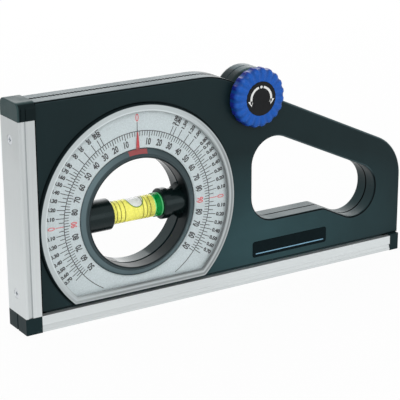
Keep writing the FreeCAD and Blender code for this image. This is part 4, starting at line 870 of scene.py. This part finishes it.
class LEVEL_OT_vial(bpy.types.Operator):
    """Finish the vial, its liquid, its plug and its holders, and add the lines round it"""

    bl_idname = "level.vial"
    bl_label = "Finish vial"

    def execute(self, context):
        colours = context.scene.level_colours
        tube = Finish("vial_acrylic", (0.99, 1.0, 0.96), roughness=0.02, IOR=1.10,
                      Transmission_Weight=1.0)
        tube.handling(200.0, 0.01, 0.03)
        tube.clear_shadow((0.98, 0.98, 0.94))
        dress(tube, "vial_tube")
        self.fill_vial(colours.liquid)
        self.finish_plug(colours.plug)
        holder = Finish("holder_plastic", (0.003, 0.008, 0.008), roughness=0.22, IOR=1.34,
                        Specular_Tint=COOL)
        holder.grain(2800.0, 0.008 * MM)
        holder.clouded(120.0, 0.20, 0.30, (0.002, 0.006, 0.006), (0.005, 0.011, 0.011))
        dress(holder, "vial_holder_left", "vial_holder_right")
        self.add_rings()
        return {"FINISHED"}

    def fill_vial(self, tone):
        """The liquid fills the tube nearly to its edge, as a thick clear wall shows it."""
        hollow_reach = Vector((3.75, 6.5, 3.6)) * MM
        liquid = Finish("vial_liquid", tone, roughness=0.05, IOR=1.08, Transmission_Weight=0.5)
        plain = liquid.mottled(500.0, *shades(tone, 0.97, 1.03))
        # Painted shade: the liquid along the bubble's edge is painted dark green
        away = liquid.shared("ball_distance", Centre=BUBBLE, Reach=hollow_reach)["Distance"]
        liquid.base(liquid.between(liquid.step(away, 1.14, 1.04), plain, (0.07, 0.24, 0.02)))
        liquid.clear_shadow(tone)
        bubble = Finish("vial_bubble", (0.86, 0.86, 0.93), roughness=0.1, IOR=1.05,
                        Transmission_Weight=0.5)
        # Painted shade: the bubble is painted dark green where it is seen edge on
        facing = bubble.add("LayerWeight", Blend=0.35)["Facing"]
        bubble.base(bubble.between(bubble.step(facing, 0.45, 0.85), (0.88, 0.88, 0.94),
                                   (0.20, 0.34, 0.10)))
        bubble.clear_shadow((0.95, 0.95, 0.98))
        low, high, _ = corners("vial_liquid")
        wall, film = 0.15 * MM, 0.05 * MM
        radius = VIAL.z - corners("vial_tube")[0].z - wall
        long = high.x - low.x
        middle = Vector(((low.x + high.x) / 2, 0.0, VIAL.z))
        filling = cut(rod(middle, long, radius), ball(BUBBLE, hollow_reach), "DIFFERENCE")
        piece = add_piece("vial_filling", filling, liquid, "dial")
        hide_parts("vial_liquid")
        inside = ball(BUBBLE, hollow_reach - Vector((film, film, film)))
        shape = cut(rod(middle, long, radius - film), inside, "INTERSECT")
        add_piece("vial_bubble", shape, bubble, "dial")

    def finish_plug(self, tone):
        """Green plastic, with a painted highlight line at each end of what shows."""
        plug = Finish("plug_green", tone, roughness=0.35, IOR=1.2)
        plain = plug.clouded(400.0, 0.15, 0.3, *shades(tone, 0.85, 1.15))
        # Painted highlight: pale green lines near the plug's two ends
        first = corners("vial_plug")[0].x + 0.35 * MM
        last = corners("vial_holder_right")[0].x - 0.45 * MM
        across = plug.shared("bands_from_axis")["Across"]
        from_middle = plug.distance(across, (first + last) / 2)
        off = plug.distance(from_middle, (last - first) / 2)
        plug.base(plug.between(plug.step(off, 0.35 * MM, 0.20 * MM), plain, (0.16, 0.72, 0.30)))
        dress(plug, "vial_plug")

    def add_rings(self):
        """The lines printed round the tube, at places across from its middle."""
        low, high, _ = corners("vial_tube")
        radius = (high.z - low.z) / 2
        wide, thick = 0.30 * MM, 0.05 * MM
        rings = bmesh.new()
        for across in (-9.6, -7.7, -5.6, 3.4, 5.3, 7.0):
            x = VIAL.x + across * MM
            places = [(x - wide / 2, radius), (x + wide / 2, radius),
                      (x + wide / 2, radius + thick), (x - wide / 2, radius + thick)]
            verts = [rings.verts.new((a, 0.0, VIAL.z + r)) for a, r in places]
            face = rings.faces.new(verts)
            bmesh.ops.spin(rings, geom=[face, *face.edges, *verts], cent=(x, 0.0, VIAL.z),
                           axis=(1.0, 0.0, 0.0), angle=math.tau, steps=48, use_merge=True,
                           use_duplicate=False)
        close_up(rings)
        line = Finish("vial_lines", (0.16, 0.15, 0.02), roughness=0.4)
        line.clouded(900.0, 0.35, 0.45, (0.10, 0.10, 0.01), (0.24, 0.22, 0.03))
        add_piece("vial_rings", rings, line, "dial")


class LEVEL_OT_knob(bpy.types.Operator):
    """Finish the fluted knob and its disc, and print the two arrows on it"""

    bl_idname = "level.knob"
    bl_label = "Finish knob"

    def execute(self, context):
        self.finish_knob(context.scene.level_colours.knob)
        disc = Finish("disc_lacquer", (0.004, 0.005, 0.006), roughness=0.3, IOR=1.25)
        disc.grain(4000.0, 0.004 * MM)
        disc.clouded(150.0, 0.26, 0.36, (0.003, 0.004, 0.005), (0.007, 0.008, 0.009))
        dress(disc, "knob_disc")
        white = Finish("white_ink", (0.82, 0.83, 0.81), roughness=0.5)
        white.clouded(1500.0, 0.45, 0.6, (0.72, 0.73, 0.72), (0.86, 0.87, 0.85))
        add_piece("knob_arrows", self.arrows(), white, "knob")
        return {"FINISHED"}

    def finish_knob(self, tone):
        """Blue plastic, with painted shade in its flutes and a dark violet painted shade down its
        side.
        """
        finish = Finish("knob_blue", tone, roughness=0.3, IOR=1.25)
        finish.grain(2600.0, 0.008 * MM)
        finish.handling(110.0, 0.24, 0.38)
        plain = finish.mottled(250.0, *shades(tone, 0.85, 1.25))
        # Painted shade: the flutes' hollows are painted darker near the rim
        hollow = finish.shared("flutes_round_axis", Centre=KNOB, Count=20.0)["Hollow"]
        place = finish.shared("bands_from_axis", Centre=KNOB)
        flutes = finish.both(finish.step(hollow, 0.55, 1.0),
                             finish.step(place["Radius"], 8.0 * MM, 12.5 * MM))
        # Painted shade: behind the front face the side is painted dark violet
        nose = -corners("drive_knob")[0].y
        face = finish.step(place["Depth"], nose - 2.8 * MM, nose - 0.9 * MM)
        shade = finish.between(face, (0.012, 0.022, 0.24), plain)
        finish.base(finish.between(flutes, shade, lighter(tone, 0.70)))
        dress(finish, "drive_knob")

    def arrows(self):
        """Two curved arrows and the spot between them."""
        marks = bmesh.new()
        thick, spot_radius = 0.05 * MM, 0.62 * MM
        inner, outer = 4.75 * MM, 5.75 * MM
        middle = (inner + outer) / 2
        for side in (-1, 1):
            first, last = sorted((math.radians(14 * side), math.radians(112 * side)))
            add_arc(marks, KNOB, first, last, inner, outer, DISC_FRONT, thick, 24)
            self.add_head(marks, side, middle, thick)
        spot = Vector((KNOB.x, DISC_FRONT - thick / 2, KNOB.z + middle))
        bmesh.ops.create_cone(
            marks, cap_ends=True, segments=24, radius1=spot_radius, radius2=spot_radius,
            depth=thick, matrix=Matrix.Translation(spot) @ Matrix.Rotation(math.pi / 2, 4, "X"),
        )
        close_up(marks)
        return marks

    def add_head(self, shape, side, middle, thick):
        """An arrow's head: the band ends in a point, with a barb on its outer side."""
        turn = math.radians(96 * side)
        long, outer_barb, inner_barb = 2.6 * MM, 1.7 * MM, 0.5 * MM
        out = Vector((math.sin(turn), 0.0, math.cos(turn)))
        ahead = Vector((math.cos(turn), 0.0, -math.sin(turn))) * side
        root = Vector((KNOB.x, DISC_FRONT, KNOB.z)) + out * middle
        places = [root + out * outer_barb, root - out * inner_barb, root + ahead * long]
        base = [shape.verts.new(place) for place in places]
        face = shape.faces.new(base)
        raised = bmesh.ops.extrude_face_region(shape, geom=[face])
        moved = [part for part in raised["geom"] if isinstance(part, bmesh.types.BMVert)]
        bmesh.ops.translate(shape, verts=moved, vec=(0.0, -thick, 0.0))


class LEVEL_OT_hardware(bpy.types.Operator):
    """Finish the screws, pins, shaft, bush and friction ring"""

    bl_idname = "level.hardware"
    bl_label = "Finish hardware"

    def execute(self, context):
        steel = Finish("zinc_steel", (0.62, 0.65, 0.67), metallic=0.9, roughness=0.3)
        steel.clouded(600.0, 0.22, 0.42, (0.54, 0.57, 0.60), (0.72, 0.75, 0.77))
        dress(steel, "idler_pin", "knob_shaft", "side_rail_screws", "base_rail_screws",
              "body_screws", "knob_screw")
        brass = Finish("bush_brass", (0.60, 0.42, 0.16), metallic=0.9, roughness=0.28)
        brass.clouded(500.0, 0.2, 0.4, (0.52, 0.36, 0.14), (0.68, 0.50, 0.22))
        dress(brass, "shaft_bush")
        rubber = Finish("ring_rubber", (0.020, 0.020, 0.020), roughness=0.75)
        rubber.grain(3000.0, 0.01 * MM)
        rubber.clouded(300.0, 0.7, 0.85, (0.016, 0.016, 0.016), (0.030, 0.030, 0.030))
        dress(rubber, "friction_ring")
        return {"FINISHED"}


def aim(thing, place, target):
    turn = (Vector(target) - Vector(place)).to_track_quat("-Z", "Y")
    thing.matrix_world = Matrix.Translation(Vector(place)) @ turn.to_matrix().to_4x4()


def white_where_seen(tree, dim, strength):
    """A strength that is full where the camera, a gloss or a clear piece looks, or else dim."""
    path = add_node(tree, "LightPath").outputs
    seen = path["Is Camera Ray"]
    for ray in ("Is Glossy Ray", "Is Transmission Ray"):
        either = add_node(tree, "Math", seen, path[ray], operation="MAXIMUM")
        seen = either.outputs["Value"]
    share = add_node(tree, "MapRange", Value=seen, To_Min=dim, To_Max=strength)
    return share.outputs["Result"]


class LEVEL_OT_stage(bpy.types.Operator):
    """Set the white floor, the soft lamps, the surroundings and the camera"""

    bl_idname = "level.stage"
    bl_label = "Set stage"

    def execute(self, context):
        scene = context.scene
        options = scene.level_stage
        self.set_floor(scene, options)
        self.set_surroundings(scene, options)
        self.add_lamp(scene, "key", options.key, 0.7, (-0.45, -0.75, 0.75))
        self.add_lamp(scene, "fill", options.fill, 0.5, (0.42, -0.60, 0.14))
        self.add_lamp(scene, "back", options.back, 0.8, (0.50, 0.88, 0.46))
        self.set_camera(scene)
        scene.view_settings.view_transform = "Standard"
        return {"FINISHED"}

    def set_floor(self, scene, options):
        shape = bmesh.new()
        bmesh.ops.create_grid(shape, x_segments=2, y_segments=2, size=3.0)
        mesh = bpy.data.meshes.new("floor")
        shape.to_mesh(mesh)
        shape.free()
        floor = bpy.data.objects.new("floor", mesh)
        scene.collection.objects.link(floor)
        ground = 0.92 if options.floor == "WHITE" else 0.75
        finish = Finish("floor_white", (ground, ground, ground), roughness=0.8)
        glow = finish.add("Emission", Strength=1.0)["Emission"]
        finish.surface(white_where_seen(finish.tree, 0.0, 0.95), finish.shader.outputs["BSDF"],
                       glow)
        mesh.materials.append(finish.material)

    def set_surroundings(self, scene, options):
        world = bpy.data.worlds.new("surroundings")
        world.use_nodes = True
        ground = world.node_tree.nodes["Background"]
        ground.inputs["Color"].default_value = (1.0, 1.0, 1.0, 1.0)
        strength = white_where_seen(world.node_tree, options.sky, 1.0)
        world.node_tree.links.new(strength, ground.inputs["Strength"])
        scene.world = world

    def add_lamp(self, scene, name, power, size, place):
        lamp = bpy.data.lights.new(name, "AREA")
        lamp.energy = power
        lamp.size = size
        holder = bpy.data.objects.new(name, lamp)
        scene.collection.objects.link(holder)
        aim(holder, place, (0.0, 0.0, 0.05))

    def set_camera(self, scene):
        """The photograph's view: its focal length in pixels, its axes and its place."""
        picture_wide, focal = 400.0, 1475.1174
        lens = bpy.data.cameras.new("photo_view")
        lens.sensor_width = 36.0
        lens.lens = focal / picture_wide * lens.sensor_width
        lens.clip_start = 0.01
        lens.clip_end = 20.0
        camera = bpy.data.objects.new("photo_view", lens)
        scene.collection.objects.link(camera)
        right = Vector((0.844707307, -0.53521174, -0.004237736))
        up = Vector((0.168360006, 0.258184763, 0.951312534))
        back = Vector((-0.508059518, -0.804294114, 0.308198807))
        view = Matrix((right, up, back)).transposed().to_4x4()
        view.translation = (-0.343099601, -0.529391387, 0.244485291)
        camera.matrix_world = view
        scene.camera = camera


OPERATORS = (
    LEVEL_OT_rails, LEVEL_OT_caps, LEVEL_OT_body, LEVEL_OT_badge, LEVEL_OT_scale,
    LEVEL_OT_degree_print, LEVEL_OT_slope_print, LEVEL_OT_cover, LEVEL_OT_drum,
    LEVEL_OT_pointer, LEVEL_OT_vial, LEVEL_OT_knob, LEVEL_OT_hardware, LEVEL_OT_stage,
)


class LEVEL_PT_sidebar(bpy.types.Panel):
    """The slope level's sizes, colours and steps"""

    bl_idname = "LEVEL_PT_sidebar"
    bl_label = "Slope level"
    bl_space_type = "VIEW_3D"
    bl_region_type = "UI"
    bl_category = "Slope level"

    def draw(self, context):
        scene = context.scene
        for group in (scene.level_colours, scene.level_print, scene.level_stage):
            box = self.layout.box()
            for name in group.bl_rna.properties.keys():
                if name not in {"rna_type", "name"}:
                    box.prop(group, name)
        for operator in OPERATORS:
            self.layout.operator(operator.bl_idname)


GROUPS = (LevelColours, LevelPrint, LevelStage)


def register():
    for item in (*GROUPS, *OPERATORS, LEVEL_PT_sidebar):
        bpy.utils.register_class(item)
    bpy.types.Scene.level_colours = PointerProperty(type=LevelColours)
    bpy.types.Scene.level_print = PointerProperty(type=LevelPrint)
    bpy.types.Scene.level_stage = PointerProperty(type=LevelStage)


def unregister():
    del bpy.types.Scene.level_stage
    del bpy.types.Scene.level_print
    del bpy.types.Scene.level_colours
    for item in reversed((*GROUPS, *OPERATORS, LEVEL_PT_sidebar)):
        bpy.utils.unregister_class(item)


def main():
    register()
    bpy.ops.level.rails()
    bpy.ops.level.caps()
    bpy.ops.level.body()
    bpy.ops.level.badge()
    bpy.ops.level.scale()
    bpy.ops.level.degree_print()
    bpy.ops.level.slope_print()
    bpy.ops.level.cover()
    bpy.ops.level.drum()
    bpy.ops.level.pointer()
    bpy.ops.level.vial()
    bpy.ops.level.knob()
    bpy.ops.level.hardware()
    bpy.ops.level.stage()


if __name__ == "__main__":
    main()
